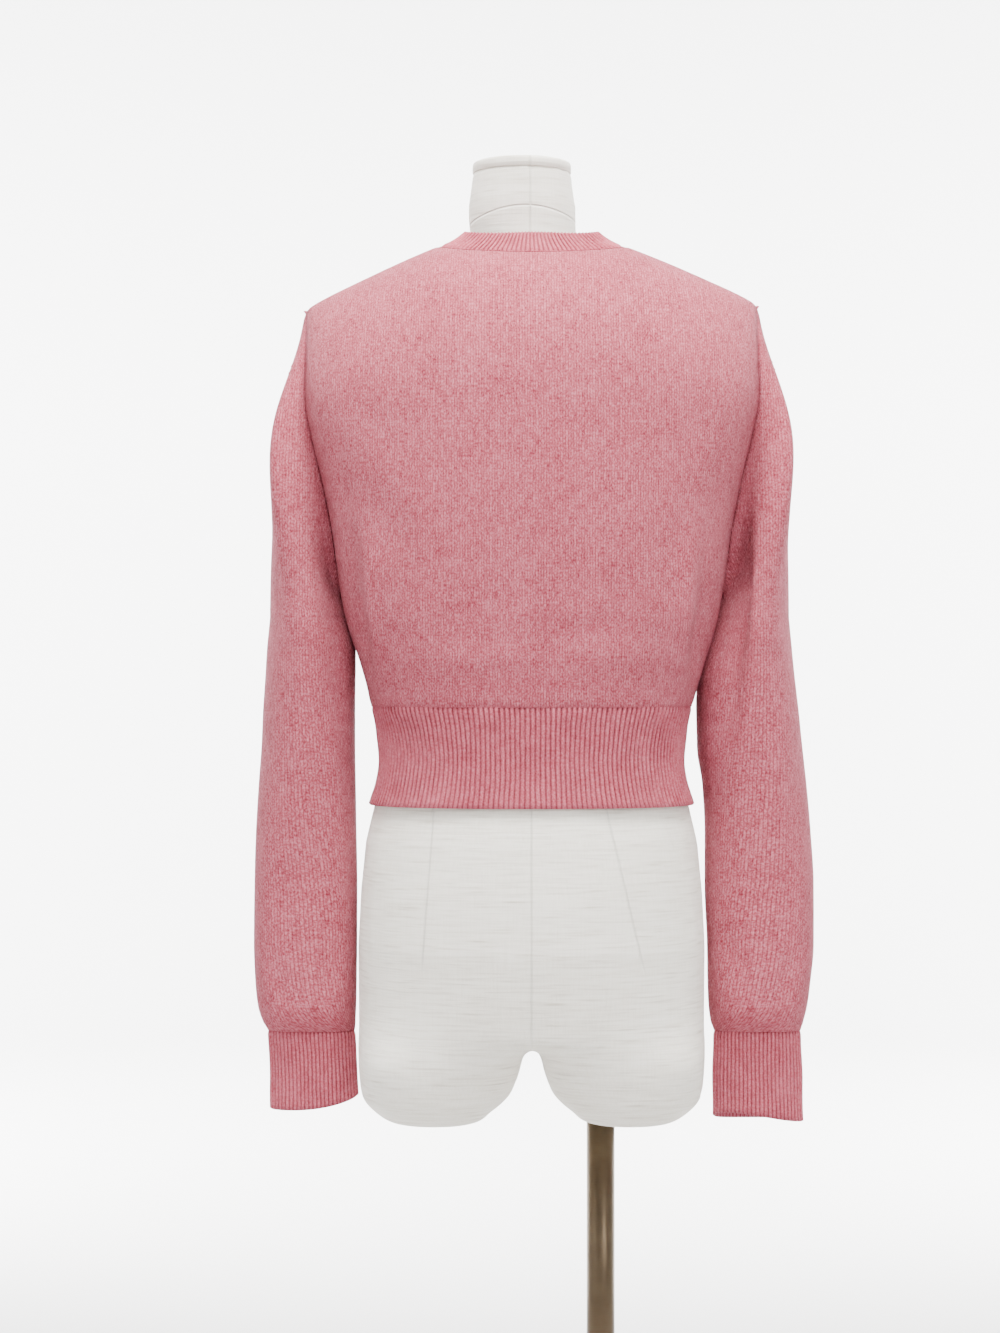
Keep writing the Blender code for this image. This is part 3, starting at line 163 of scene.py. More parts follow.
lens = bpy.data.cameras.new("camera")
lens.sensor_fit = "VERTICAL"
lens.sensor_height = SENSOR
lens.lens = SENSOR * VIEW_DISTANCE / VIEW_HEIGHT
camera = bpy.data.objects.new("camera", lens)
bpy.context.collection.objects.link(camera)
camera.location = VIEW_FROM
camera.rotation_euler = (math.radians(90), 0.0, math.radians(180))
bpy.context.scene.camera = camera


# The stand: a turned steel foot with a rolled edge and a bronze plated tube.
# The plating is brushed round the foot and along the tube, and worn a little
# lighter where it is handled.
BRONZE = (0.078, 0.054, 0.032)
BRONZE_WORN = (0.150, 0.112, 0.070)
BRONZE_ROUGHNESS = (0.26, 0.46)
BRONZE_RELIEF = 0.0002
WEAR_STEPS = (9.0, 9.0, 9.0)


class Brush:
    """Adds nodes to a material, each joined to what feeds it."""

    def __init__(self, material, shader):
        self.tree = material.node_tree
        self.shader = shader

    def add(self, kind):
        """A new node of the material."""
        return self.tree.nodes.new("ShaderNode" + kind)

    def feed(self, socket, value):
        """Joins another node's socket to a socket, or sets it to a plain value."""
        if isinstance(value, bpy.types.NodeSocket):
            self.tree.links.new(value, socket)
        else:
            socket.default_value = value

    def place(self):
        """The place on the object, in metres."""
        return self.add("TexCoord").outputs["Object"]

    def step(self, operation, *values, clamp=False):
        """One Math node; a value is a number or another node's socket."""
        node = self.add("Math")
        node.operation = operation
        node.use_clamp = clamp
        for socket, value in zip(node.inputs, values):
            self.feed(socket, value)
        return node.outputs[0]

    def total(self, *parts):
        """The sum of some sockets, each with its weight."""
        shares = [self.step("MULTIPLY", socket, weight) for socket, weight in parts]
        whole = shares[0]
        for share in shares[1:]:
            whole = self.step("ADD", whole, share)
        return whole

    def noise(self, source, scale, detail, offset=0.0, distortion=0.0):
        """Noise at a place, with its own number of steps along each axis."""
        scaled = self.add("VectorMath")
        scaled.operation = "MULTIPLY_ADD"
        scaled.inputs[1].default_value = scale
        scaled.inputs[2].default_value = (offset, offset, offset)
        self.feed(scaled.inputs[0], source)
        node = self.add("TexNoise")
        node.inputs["Scale"].default_value = 1.0
        node.inputs["Detail"].default_value = detail
        node.inputs["Distortion"].default_value = distortion
        self.feed(node.inputs["Vector"], scaled.outputs["Vector"])
        return node.outputs["Fac"]

    def ramp(self, factor, first, last, *between):
        """A colour by a factor, through stops that are each a position and a colour."""
        node = self.add("ValToRGB")
        stops = node.color_ramp.elements
        for stop, (position, colour) in zip(stops, (first, last)):
            stop.position = position
            stop.color = (*colour, 1.0)
        for position, colour in between:
            stops.new(position).color = (*colour, 1.0)
        self.feed(node.inputs["Fac"], factor)
        return node.outputs["Color"]

    def mix(self, factor, under, colour, blend="MIX"):
        """A plain colour laid over what another socket gives."""
        node = self.add("Mix")
        node.data_type = "RGBA"
        node.blend_type = blend
        self.feed(node.inputs["Factor"], factor)
        self.feed(node.inputs["A"], under)
        self.feed(node.inputs["B"], (*colour, 1.0))
        return node.outputs["Result"]

    def paint(self, colour):
        """Gives the material its colour."""
        self.feed(self.shader.inputs["Base Color"], colour)

    def bump(self, height, strength, distance):
        """Gives the material its fine relief."""
        node = self.add("Bump")
        node.inputs["Strength"].default_value = strength
        node.inputs["Distance"].default_value = distance
        self.feed(node.inputs["Height"], height)
        self.feed(self.shader.inputs["Normal"], node.outputs["Normal"])


def bronze_material(name, grain, centre):
    """Brushed bronze plating; grain gives the pattern's steps along each axis."""
    material, shader = plain_material(name, BRONZE, 0.34, 0.85)
    brush = Brush(material, shader)
    mapping = brush.add("Mapping")
    mapping.inputs["Location"].default_value = tuple(-c for c in centre)
    brush.feed(mapping.inputs["Vector"], brush.place())
    place = mapping.outputs["Vector"]
    streaks = brush.noise(place, grain, 4.0)
    wear = brush.noise(place, WEAR_STEPS, 6.0)
    brush.paint(brush.ramp(wear, (0.42, BRONZE), (0.78, BRONZE_WORN)))
    rough = brush.add("MapRange")
    rough.inputs["To Min"].default_value, rough.inputs["To Max"].default_value = BRONZE_ROUGHNESS
    brush.feed(rough.inputs["Value"], streaks)
    brush.feed(shader.inputs["Roughness"], rough.outputs["Result"])
    brush.bump(streaks, 0.25, BRONZE_RELIEF)
    return material


PLATE_RADIUS = 0.172
PLATE_TOP = 0.009
plate_profile = (
    (PLATE_RADIUS - 0.0035, 0.0),
    (PLATE_RADIUS - 0.0008, 0.0009),
    (PLATE_RADIUS, 0.0028),
    (PLATE_RADIUS - 0.0006, 0.0058),
    (PLATE_RADIUS - 0.0030, 0.0080),
    (PLATE_RADIUS - 0.0075, 0.00888),
    (PLATE_RADIUS - 0.014, PLATE_TOP),
)
plate = turned_mesh("foot_plate", plate_profile, (0.0, 0.0), 128,
                    bronze_material("bronze_plate", (60.0, 900.0, 900.0), (0, 0, 0)))
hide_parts("base_plate")
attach(plate, "root")

POLE_X = -0.054
POLE_RADIUS = 0.01135
FORM_UNDERSIDE = 0.330
pole_profile = [(POLE_RADIUS, 0.0093), (POLE_RADIUS, FORM_UNDERSIDE - 0.0003)]
pole = turned_mesh("pole_tube", pole_profile, (POLE_X, 0.0), 48,
                   bronze_material("bronze_pole", (900.0, 900.0, 22.0), (POLE_X, 0, 0)))
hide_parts("pole")
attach(pole, "root")


# The dress form: a stuffed body in an off-white linen cover, sewn from panels
# with a seam down the middle, two darts over the seat and a seam round the
# base of the neck. The linen is woven coarsely, with thick slub threads.
LINEN = (0.850, 0.818, 0.745)
LINEN_SHADE = (0.720, 0.680, 0.595)
LINEN_SLUB = (0.54, 0.49, 0.41)
LINEN_SEAM = (0.52, 0.50, 0.45)
SEAM_MIDDLE = (0.0032, 0.397, 0.0032, 1.10)
DARTS = ((0.0802, 0.5755, 0.0891, 0.4539), (-0.0575, 0.5755, -0.0859, 0.4539))
SEAM_WIDTH = 0.0013
SEAM_END = 60.0               # how fast a seam ends, over a sixtieth of a metre
SEAM_PAST = 0.03              # how far a seam goes on past its upper end
NECK_SEAM = {"middle": 0.0065, "level": 1.0655, "curve": 5.2}


def linen_material(name):
    """Slubby plain weave with sewn seams, all on object coordinates."""
    material, shader = plain_material(name, LINEN, 0.88)
    shader.inputs["Sheen Weight"].default_value = 0.12
    shader.inputs["Sheen Roughness"].default_value = 0.6
    brush = Brush(material, shader)
    step = brush.step
    place = brush.place()
    parts = brush.add("SeparateXYZ")
    brush.feed(parts.inputs["Vector"], place)
    x, z = parts.outputs["X"], parts.outputs["Z"]

    weft = brush.noise(place, (16.0, 16.0, 620.0), 3.0)
    warp = brush.noise(place, (620.0, 620.0, 20.0), 3.0)
    slub = step("POWER", brush.noise(place, (34.0, 34.0, 520.0), 1.0), 4.5)
    cloudy = brush.noise(place, (7.0, 7.0, 7.0), 3.0)

    # The seam round the base of the neck rises to the middle of the back.
    off = step("SUBTRACT", x, NECK_SEAM["middle"])
    dip = step("MULTIPLY", step("MULTIPLY", off, off), NECK_SEAM["curve"])
    off = step("ABSOLUTE", step("SUBTRACT", step("SUBTRACT", NECK_SEAM["level"], dip), z))
    seams = step("SUBTRACT", 1.0, step("DIVIDE", off, SEAM_WIDTH), clamp=True)
    for x0, z0, x1, z1 in (SEAM_MIDDLE, *DARTS):
        lean = (x1 - x0) / (z1 - z0)
        centre = step("ADD", step("MULTIPLY", step("SUBTRACT", z, z0), lean), x0)
        off = step("ABSOLUTE", step("SUBTRACT", x, centre))
        line = step("SUBTRACT", 1.0, step("DIVIDE", off, SEAM_WIDTH), clamp=True)
        below = step("MULTIPLY", step("SUBTRACT", z, min(z0, z1)), SEAM_END, clamp=True)
        above = step("SUBTRACT", max(z0, z1) + SEAM_PAST, z)
        above = step("MULTIPLY", above, SEAM_END, clamp=True)
        seams = step("MAXIMUM", seams, step("MULTIPLY", line, step("MULTIPLY", below, above)))

    tone = brush.total((weft, 0.40), (warp, 0.25), (cloudy, 0.35))
    colour = brush.ramp(tone, (0.32, LINEN_SHADE), (0.56, LINEN))
    colour = brush.mix(step("MULTIPLY", slub, 2.4, clamp=True), colour, LINEN_SLUB)
    brush.paint(brush.mix(step("MULTIPLY", seams, 0.42), colour, LINEN_SEAM))
    height = brush.total((weft, 0.5), (warp, 0.5), (slub, 1.1), (seams, -2.4))
    brush.bump(height, 0.55, 0.0006)
    return material


def softened(node, name, voxel, rounds, material):
    """A finer, evenly meshed and smoothed copy of a CAD node."""
    mesh = nodes[node].data.copy()
    mesh.name = name
    shape = bmesh.new()
    shape.from_mesh(mesh)
    bmesh.ops.remove_doubles(shape, verts=shape.verts, dist=0.00002)
    shape.to_mesh(mesh)
    shape.free()
    mesh.materials.clear()
    piece = bpy.data.objects.new(name, mesh)
    bpy.context.collection.objects.link(piece)
    remesh = piece.modifiers.new("even_mesh", "REMESH")
    remesh.mode = "VOXEL"
    remesh.voxel_size = voxel
    smooth = piece.modifiers.new("smooth", "SMOOTH")
    smooth.factor = 0.5
    smooth.iterations = rounds
    made = bpy.data.meshes.new_from_object(
        piece.evaluated_get(bpy.context.evaluated_depsgraph_get()))
    piece.modifiers.clear()
    piece.data = made
    made.name = name
    made.materials.clear()
    made.materials.append(material)
    made.shade_smooth()
    return piece


def eased_mesh(piece, inside, rounds):
    """Smooths the part of a mesh whose points lie inside a box."""
    shape = bmesh.new()
    shape.from_mesh(piece.data)
    low, high = inside
    chosen = [
        vertex for vertex in shape.verts
        if all(low[k] <= abs(vertex.co[k]) <= high[k] for k in range(3))
    ]
    for _ in range(rounds):
        bmesh.ops.smooth_vert(shape, verts=chosen, factor=0.5, use_axis_x=True,
                              use_axis_y=True, use_axis_z=True)
    shape.to_mesh(piece.data)
    shape.free()
    piece.data.shade_smooth()


FORM_VOXEL = 0.0034
FORM_ROUNDS = 10
THIGHS = ((0.028, 0.012, 0.352), (0.150, 0.200, 0.470))
THIGH_ROUNDS = 90
form_linen = linen_material("linen_cover")
form = softened("dress_form", "form_body", FORM_VOXEL, FORM_ROUNDS, form_linen)
eased_mesh(form, THIGHS, THIGH_ROUNDS)
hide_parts("dress_form")
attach(form, "root")

# The cap's cover laps over the top of the neck, so that no gap shows.
low, high = (np.array(corner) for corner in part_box("neck_cap"))
cap_radius = (high[0] - low[0]) / 2 + 0.0002
cap_profile = (
    (cap_radius - 0.0006, high[2] - 0.0085),
    (cap_radius, high[2] - 0.0080),
    (cap_radius, high[2] - 0.0022),
    (cap_radius - 0.0007, high[2] - 0.0008),
    (cap_radius - 0.0024, high[2]),
)
cap_middle = ((low[0] + high[0]) / 2, (low[1] + high[1]) / 2)
cap = turned_mesh("form_neck_cap", cap_profile, cap_middle, 96, form_linen)
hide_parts("neck_cap")
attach(cap, "root")


# The back: one panel of fine stockinette in a pink marled yarn, knitted to
# shape, and linked to the fronts at the sides and shoulders. It hangs from the
# shoulders, clear of the form, and blouses a little over the tighter hem.
CLOTH = 0.0023
GARMENT_SHIFT = 0.002
HEM_BOTTOM = 0.585
HEM_TOP = 0.664
UNDERARM = 0.752
NECK_POINT = 1.0345
NAPE_DROP = 0.0085
THROAT_DROP = 0.0695
NECK_HALF = 0.075
SHOULDER_HALF = 0.183
LEFT_SHOULDER_DROP = 0.004
ARMHOLE_TURN = 25.0
BAND_HALF = 0.016
LAP = 0.0031
LAP_START = 0.050
WALE = 0.0021                 # from one column of stitches to the next
COURSE = 0.00155              # from one row of stitches to the next
PINK = (0.440, 0.096, 0.127)
PINK_LIGHT = (0.600, 0.184, 0.236)
PINK_DEEP = (0.250, 0.034, 0.055)


class Table:
    """Rows of named columns, read smoothly between the rows of its first column."""

    def __init__(self, names, rows):
        self.names = names
        self.values = np.array(rows, float)

    def at(self, name, place):
        """The value of one column at a place, on a curve that never overshoots."""
        known = self.values[:, 0]
        value = self.values[:, self.names.index(name)]
        place = np.clip(place, known[0], known[-1])
        step = np.diff(known)
        slope = np.diff(value) / step
        tangent = np.zeros(len(known))
        for i in range(1, len(known) - 1):
            if slope[i - 1] * slope[i] > 0:
                before = 2 * step[i] + step[i - 1]
                after = step[i] + 2 * step[i - 1]
                tangent[i] = (before + after) / (before / slope[i - 1] + after / slope[i])
        tangent[0] = slope[0]
        tangent[-1] = slope[-1]
        row = np.clip(np.searchsorted(known, place, side="right") - 1, 0, len(step) - 1)
        part = (place - known[row]) / step[row]
        rise = part * part * (3 - 2 * part)
        start = part * (1 - part) ** 2 * step[row] * tangent[row]
        end = part * part * (part - 1) * step[row] * tangent[row + 1]
        return value[row] * (1 - rise) + value[row + 1] * rise + start + end


BODY = Table(
    ("level", "half_width", "back", "front", "squareness"),
    (
        (0.585, 0.1318, 0.0895, 0.0870, 2.3),
        (0.604, 0.1262, 0.0872, 0.0855, 2.3),
        (0.622, 0.1238, 0.0860, 0.0850, 2.3),
        (0.645, 0.1255, 0.0865, 0.0860, 2.4),
        (0.664, 0.1300, 0.0885, 0.0880, 2.5),
        (0.680, 0.1330, 0.0905, 0.0915, 2.6),
        (0.701, 0.1385, 0.0935, 0.0970, 2.8),
        (0.720, 0.1445, 0.0955, 0.1020, 2.9),
        (0.737, 0.1490, 0.0975, 0.1062, 3.0),
        (0.752, 0.1525, 0.0987, 0.1090, 3.0),
        (0.780, 0.1580, 0.1015, 0.1140, 3.0),
        (0.800, 0.1612, 0.1030, 0.1165, 3.0),
        (0.820, 0.1648, 0.1042, 0.1178, 3.0),
        (0.860, 0.1728, 0.1056, 0.1180, 3.0),
        (0.900, 0.1810, 0.1060, 0.1180, 3.0),
        (0.940, 0.1860, 0.1060, 0.1180, 3.0),
        (0.990, 0.1850, 0.1060, 0.1180, 2.8),
        (1.0345, 0.1830, 0.1060, 0.1180, 2.6),
    ),
)
SHOULDER = Table(
    ("across", "height"),
    (
        (0.075, 1.0345),
        (0.105, 1.0228),
        (0.140, 1.0080),
        (0.165, 0.9972),
        (0.183, 0.9885),
        (0.205, 0.9770),
    ),
)
CAP_BACK = {"start": 0.900, "fullness": 2.3}
CAP_FRONT = {"start": 0.840, "fullness": 1.5}


def unit(vectors):
    """Vectors of length one."""
    return vectors / np.maximum(np.linalg.norm(vectors, axis=-1, keepdims=True), 1e-12)


def ease(part):
    """Goes from nought to one with no kink at either end."""
    part = np.clip(part, 0.0, 1.0)
    return part * part * (3 - 2 * part)


def cap_depth(level, full, cap):
    """Depth from front or back, rounding over to nothing at the shoulder seam."""
    part = np.clip((level - cap["start"]) / (NECK_POINT - cap["start"]), 0.0, 1.0)
    return full * (1 - part ** cap["fullness"]) ** (1 / cap["fullness"])


def body_points(turn, level):
    """Points of the garment. Turn is 0 at the back's middle and 90 at the left."""
    turn = np.radians(np.asarray(turn, float))
    level = np.asarray(level, float)
    power = BODY.at("squareness", level)
    sine = np.sin(turn)
    cosine = np.cos(turn)
    radius = (np.abs(sine) ** power + np.abs(cosine) ** power) ** (-1 / power)
    back = cap_depth(level, BODY.at("back", level), CAP_BACK)
    front = cap_depth(level, BODY.at("front", level), CAP_FRONT)
    across = BODY.at("half_width", level) * radius * sine
    depth = np.where(cosine > 0, back, front) * radius * cosine
    out = np.clip((across - NECK_HALF) / (SHOULDER_HALF - NECK_HALF), 0.0, 1.2)
    ridge = SHOULDER.at("height", np.abs(across)) - LEFT_SHOULDER_DROP * out
    above = np.maximum(level - UNDERARM, 0.0) / (NECK_POINT - UNDERARM)
    height = np.where(level > UNDERARM, UNDERARM + above * (ridge - UNDERARM), level)
    return np.stack((across + GARMENT_SHIFT, depth, height), axis=-1)


NORMAL_TURN = 0.2             # degrees, half of a short step round the body
NORMAL_RISE = 0.0006          # metres, half of a short step up it


def body_normals(turn, level):
    """Outward directions, from two short steps on the garment."""
    level = np.minimum(level, NECK_POINT - 2 * NORMAL_RISE)
    along = body_points(turn + NORMAL_TURN, level) - body_points(turn - NORMAL_TURN, level)
    upward = body_points(turn, level + NORMAL_RISE) - body_points(turn, level - NORMAL_RISE)
    return unit(np.cross(upward, along))


def turn_at(across, level, front):
    """The turn of the point at a distance from the middle, on a level."""
    power = BODY.at("squareness", level)
    part = np.clip(np.abs(across) / BODY.at("half_width", level), 0.0, 1.0)
    turn = np.degrees(np.arctan2(part, (1 - part ** power) ** (1 / power)))
    return np.where(across < 0, -1.0, 1.0) * np.where(front, 180 - turn, turn)


FINE_TURNS = 1441             # points of a ring along which lengths are measured


def run_along(line):
    """The length along a line from its start to each of its points."""
    steps = np.linalg.norm(np.diff(line, axis=0), axis=1)
    return np.concatenate(([0.0], np.cumsum(steps)))


def even_turns(level, start, stop, count):
    """Turns at equal steps along a level ring."""
    fine = np.linspace(start, stop, FINE_TURNS)
    run = run_along(body_points(fine, np.full(FINE_TURNS, level)))
    return np.interp(np.linspace(0.0, run[-1], count), run, fine)


# Folds: from x0, z0 to x1, z1, nearest to the depth "near", pressed in by
# "depth" (raised where it is negative) over "width".
FOLD_END = 0.35               # share of a fold's depth that is left at its ends
FOLD_REACH = 0.5              # a fold reaches further from back to front than across
FOLD_NAMES = ("x0", "z0", "x1", "z1", "near", "depth", "width")
BODY_FOLDS = (
    (0.148, 0.740, 0.139, 0.690, 0.060, 0.0030, 0.014),
    (0.126, 0.790, 0.128, 0.685, 0.085, -0.0020, 0.012),
    (-0.142, 0.740, -0.131, 0.690, 0.065, 0.0030, 0.014),
    (-0.118, 0.790, -0.119, 0.670, 0.085, -0.0020, 0.012),
    (0.136, 0.840, 0.100, 0.780, 0.085, 0.0022, 0.018),
    (-0.136, 0.850, -0.104, 0.760, 0.085, 0.0022, 0.018),
    (0.125, 0.800, 0.070, 0.760, -0.100, 0.0024, 0.018),
    (-0.125, 0.805, -0.078, 0.765, -0.100, 0.0024, 0.018),
    (0.1290, 0.800, 0.1275, 0.672, 0.068, -0.0030, 0.0075),
    (0.1410, 0.800, 0.1360, 0.678, 0.056, 0.0050, 0.0085),
    (-0.1205, 0.800, -0.1195, 0.662, 0.072, -0.0032, 0.0075),
    (-0.1330, 0.800, -0.1290, 0.668, 0.060, 0.0054, 0.0090),
    (0.152, 0.875, 0.146, 0.790, 0.066, 0.0026, 0.009),
    (-0.149, 0.880, -0.141, 0.790, 0.066, 0.0030, 0.010),
    (0.1550, 0.775, 0.1430, 0.702, 0.0, -0.0019, 0.022),
    (-0.1520, 0.775, -0.1290, 0.658, 0.0, -0.0021, 0.022),
    (0.136, 0.905, 0.110, 0.850, 0.100, 0.0014, 0.012),
    (-0.134, 0.915, -0.112, 0.840, 0.100, 0.0012, 0.013),
    (0.128, 0.880, 0.098, 0.812, 0.100, -0.0010, 0.014),
    (-0.080, 0.735, -0.020, 0.722, 0.098, 0.0009, 0.010),
    (0.030, 0.742, 0.088, 0.728, 0.098, 0.0008, 0.011),
    (0.010, 0.704, 0.075, 0.700, 0.094, -0.0010, 0.009),
    (-0.095, 0.708, -0.040, 0.702, 0.094, -0.0009, 0.009),
    (0.060, 1.000, 0.100, 0.960, 0.085, 0.0010, 0.014),
    (-0.055, 1.002, -0.105, 0.958, 0.085, 0.0011, 0.015),
    (0.110, 0.860, 0.055, 0.800, -0.112, 0.0016, 0.013),
    (-0.112, 0.866, -0.060, 0.806, -0.112, 0.0015, 0.014),
    (0.070, 0.735, 0.030, 0.715, -0.100, 0.0010, 0.011),
    (-0.075, 0.730, -0.034, 0.712, -0.100, 0.0011, 0.010),
)


def fold_shift(points, folds):
    """How far each point goes inwards for the soft folds near it."""
    shift = np.zeros(points.shape[:-1])
    for row in folds:
        fold = dict(zip(FOLD_NAMES, row))
        start = np.array((fold["x0"], fold["near"], fold["z0"]))
        run = np.array((fold["x1"], fold["near"], fold["z1"])) - start
        part = np.clip((points - start) @ run / (run @ run), 0.0, 1.0)
        away = points - (start + part[..., None] * run)
        away[..., 1] *= FOLD_REACH
        distance = np.linalg.norm(away, axis=-1)
        fade = FOLD_END + (1 - FOLD_END) * np.sin(np.pi * part)
        shift += fold["depth"] * fade * np.exp(-((distance / fold["width"]) ** 2))
    return shift


CREASE_TOP = 0.965            # above here the armhole seam lies flat
CREASE_FADE = 0.13            # the height over which the crease deepens below there
CREASE_TURN = 0.022           # depth over which it turns from the back to the front
CREASE_DEPTH = {"left": 0.0098, "right": 0.0132}
CREASE_WIDTH = {"left": 0.012, "right": 0.016}
CREASE_POINTS = 160
CORNER_DROP = 0.0014
CORNER_WIDTH = 0.006
ARMHOLE_POWER = 0.8


def armhole(part):
    """Turn from the side and level along the armhole, from underarm to shoulder."""
    level = UNDERARM + (NECK_POINT - UNDERARM) * (1 - np.cos(np.pi * part)) / 2
    return ARMHOLE_TURN * np.abs(np.sin(np.pi * part)) ** ARMHOLE_POWER, level


def armhole_loop(count, side):
    """Points round the armhole: from the shoulder down the back and up the front."""
    parts = np.linspace(0.0, 1.0, count)
    bite, level = armhole(parts)
    back_loop = body_points((90 - bite[::-1]) * side, level[::-1])
    front_loop = body_points((90 + bite[1:-1]) * side, level[1:-1])
    return np.concatenate((back_loop, front_loop))


def crease(points):
    """The hollow along both armholes, where the empty sleeve sinks into the body.

    It moves body and sleeve alike, so that the seam between them stays shut.
    """
    moved = np.zeros(points.shape)
    for side_name, side in (("left", 1.0), ("right", -1.0)):
        near = seam_dip(points, [armhole_loop(CREASE_POINTS, side)], CREASE_DEPTH[side_name],
                        CREASE_WIDTH[side_name])
        fade = ease((CREASE_TOP - points[..., 2]) / CREASE_FADE)
        moved[..., 1] -= near * fade * np.tanh(points[..., 1] / CREASE_TURN)
    return moved


def corner_tuck(points):
    """How far the cloth drops at the shoulders' corners, where three edges meet."""
    drop = np.zeros(points.shape[:-1])
    for side in (1.0, -1.0):
        away = np.linalg.norm(points - armhole_loop(9, side)[0], axis=-1)
        drop += CORNER_DROP * np.exp(-((away / CORNER_WIDTH) ** 2))
    return drop


def side_edge(rows_below, rows_beside, front):
    """Turns and levels of a panel's side: the side seam, then the armhole."""
    bite, level = armhole(np.linspace(0.0, 1.0, rows_beside + 1))
    below = np.linspace(HEM_TOP, UNDERARM, rows_below + 1)[:-1]
    turn = np.concatenate((np.full(rows_below, 90.0), 90.0 - bite))
    return np.stack((180 - turn if front else turn, np.concatenate((below, level))), axis=-1)


def top_edge(neck_columns, shoulder_columns, front):
    """Turns and levels from the middle of the neckline out to the shoulder."""
    end = math.acos(BAND_HALF / NECK_HALF) if front else math.pi / 2
    angle = np.linspace(end, 0.0, neck_columns + 1)
    level = NECK_POINT - (THROAT_DROP if front else NAPE_DROP) * np.sin(angle)
    turn = turn_at(NECK_HALF * np.cos(angle), level, front)
    across = np.linspace(NECK_HALF, SHOULDER_HALF, shoulder_columns + 1)[1:]
    top = np.full(shoulder_columns, NECK_POINT)
    turn = np.concatenate((turn, turn_at(across, top, front)))
    return np.stack((turn, np.concatenate((level, top))), axis=-1)


SIDEWAYS_POWER = 7.0          # the columns spread to the shoulder only near the top


def patch(bottom, top, first, last):
    """Fills a four-sided patch of turns and levels from its edges."""
    up = np.linspace(0.0, 1.0, len(first))[:, None] ** np.array((SIDEWAYS_POWER, 1.0))
    run = np.linspace(0.0, 1.0, len(bottom))[None, :, None]
    across = (1 - up)[:, None] * bottom[None] + up[:, None] * top[None]
    first_bend = first - (1 - up) * first[0] - up * first[-1]
    last_bend = last - (1 - up) * last[0] - up * last[-1]
    across += first_bend[:, None] * (1 - run) ** 2
    return across + last_bend[:, None] * run ** 2


ROWS_BELOW = 46
ROWS_BESIDE = 84
SHOULDER_COLUMNS = 36
NECK_COLUMNS = 28


def back_patch():
    """Turns and levels of the back, from the wearer's right to the left."""
    top = top_edge(NECK_COLUMNS, SHOULDER_COLUMNS, False)
    mirrored = top[:0:-1] * np.array((-1.0, 1.0))
    top = np.concatenate((mirrored, top))
    turns = even_turns(HEM_TOP, -90.0, 90.0, len(top))
    bottom = np.stack((turns, np.full(len(top), HEM_TOP)), axis=-1)
    side = side_edge(ROWS_BELOW, ROWS_BESIDE, False)
    return patch(bottom, top, side * np.array((-1.0, 1.0)), side)


def front_patch():
    """Turns and levels of the left front, from its band to its side."""
    top = top_edge(NECK_COLUMNS, SHOULDER_COLUMNS, True)
    side = side_edge(ROWS_BELOW, ROWS_BESIDE, True)
    start = float(turn_at(BAND_HALF, HEM_TOP, True))
    turns = even_turns(HEM_TOP, start, 90.0, len(top))
    bottom = np.stack((turns, np.full(len(top), HEM_TOP)), axis=-1)
    level = HEM_TOP + (top[0, 1] - HEM_TOP) * (side[:, 1] - HEM_TOP) / (NECK_POINT - HEM_TOP)
    turn = turn_at(np.full(len(level), BAND_HALF), level, True)
    return patch(bottom, top, np.stack((turn, level), axis=-1), side)


def fabric_uv(grid, columns_from):
    """Lengths on the cloth in metres: along its rows and up its columns."""
    along = np.linalg.norm(np.diff(grid, axis=1), axis=2)
    u = np.concatenate((np.zeros((len(grid), 1)), np.cumsum(along, axis=1)), axis=1)
    u -= u[:, columns_from:columns_from + 1]
    up = np.linalg.norm(np.diff(grid, axis=0), axis=2)
    v = np.concatenate((np.zeros((1, grid.shape[1])), np.cumsum(up, axis=0)), axis=0)
    # Stitches lie level, so a point's height gives its row of stitches, by the
    # run up the column that the lengths are counted from.
    height = grid[..., 2]
    known = height[:, columns_from]
    order = np.argsort(known)
    run = np.maximum.accumulate(v[:, columns_from][order])
    if known[0] > known[-1]:
        run = v[:, columns_from].max() - v[:, columns_from][order]
    level = np.interp(height, known[order], run)
    past = np.minimum(height - known.min(), 0.0) + np.maximum(height - known.max(), 0.0)
    return np.stack((u, level + past), axis=-1)


def rib_uv(grid):
    """Lengths on ribbed cloth: each modelled rib is one column of stitches."""
    u = (np.arange(grid.shape[1]) / POINTS_TO_A_RIB + 0.5) * RIB_PITCH
    up = np.linalg.norm(np.diff(grid, axis=0), axis=2).mean(axis=1)
    v = np.concatenate(([0.0], np.cumsum(up)))
    return np.stack(np.broadcast_arrays(u[None, :], v[:, None]), axis=-1)


def tube_normals(grid):
    """Directions square to the rows of points round a tube, by its neighbours."""
    along = np.roll(grid, -1, axis=1) - np.roll(grid, 1, axis=1)
    return unit(np.cross(np.gradient(grid, axis=0), along))


EDGE_PUSH = 0.32              # how far a rolled edge stands out, by the cloth's thickness


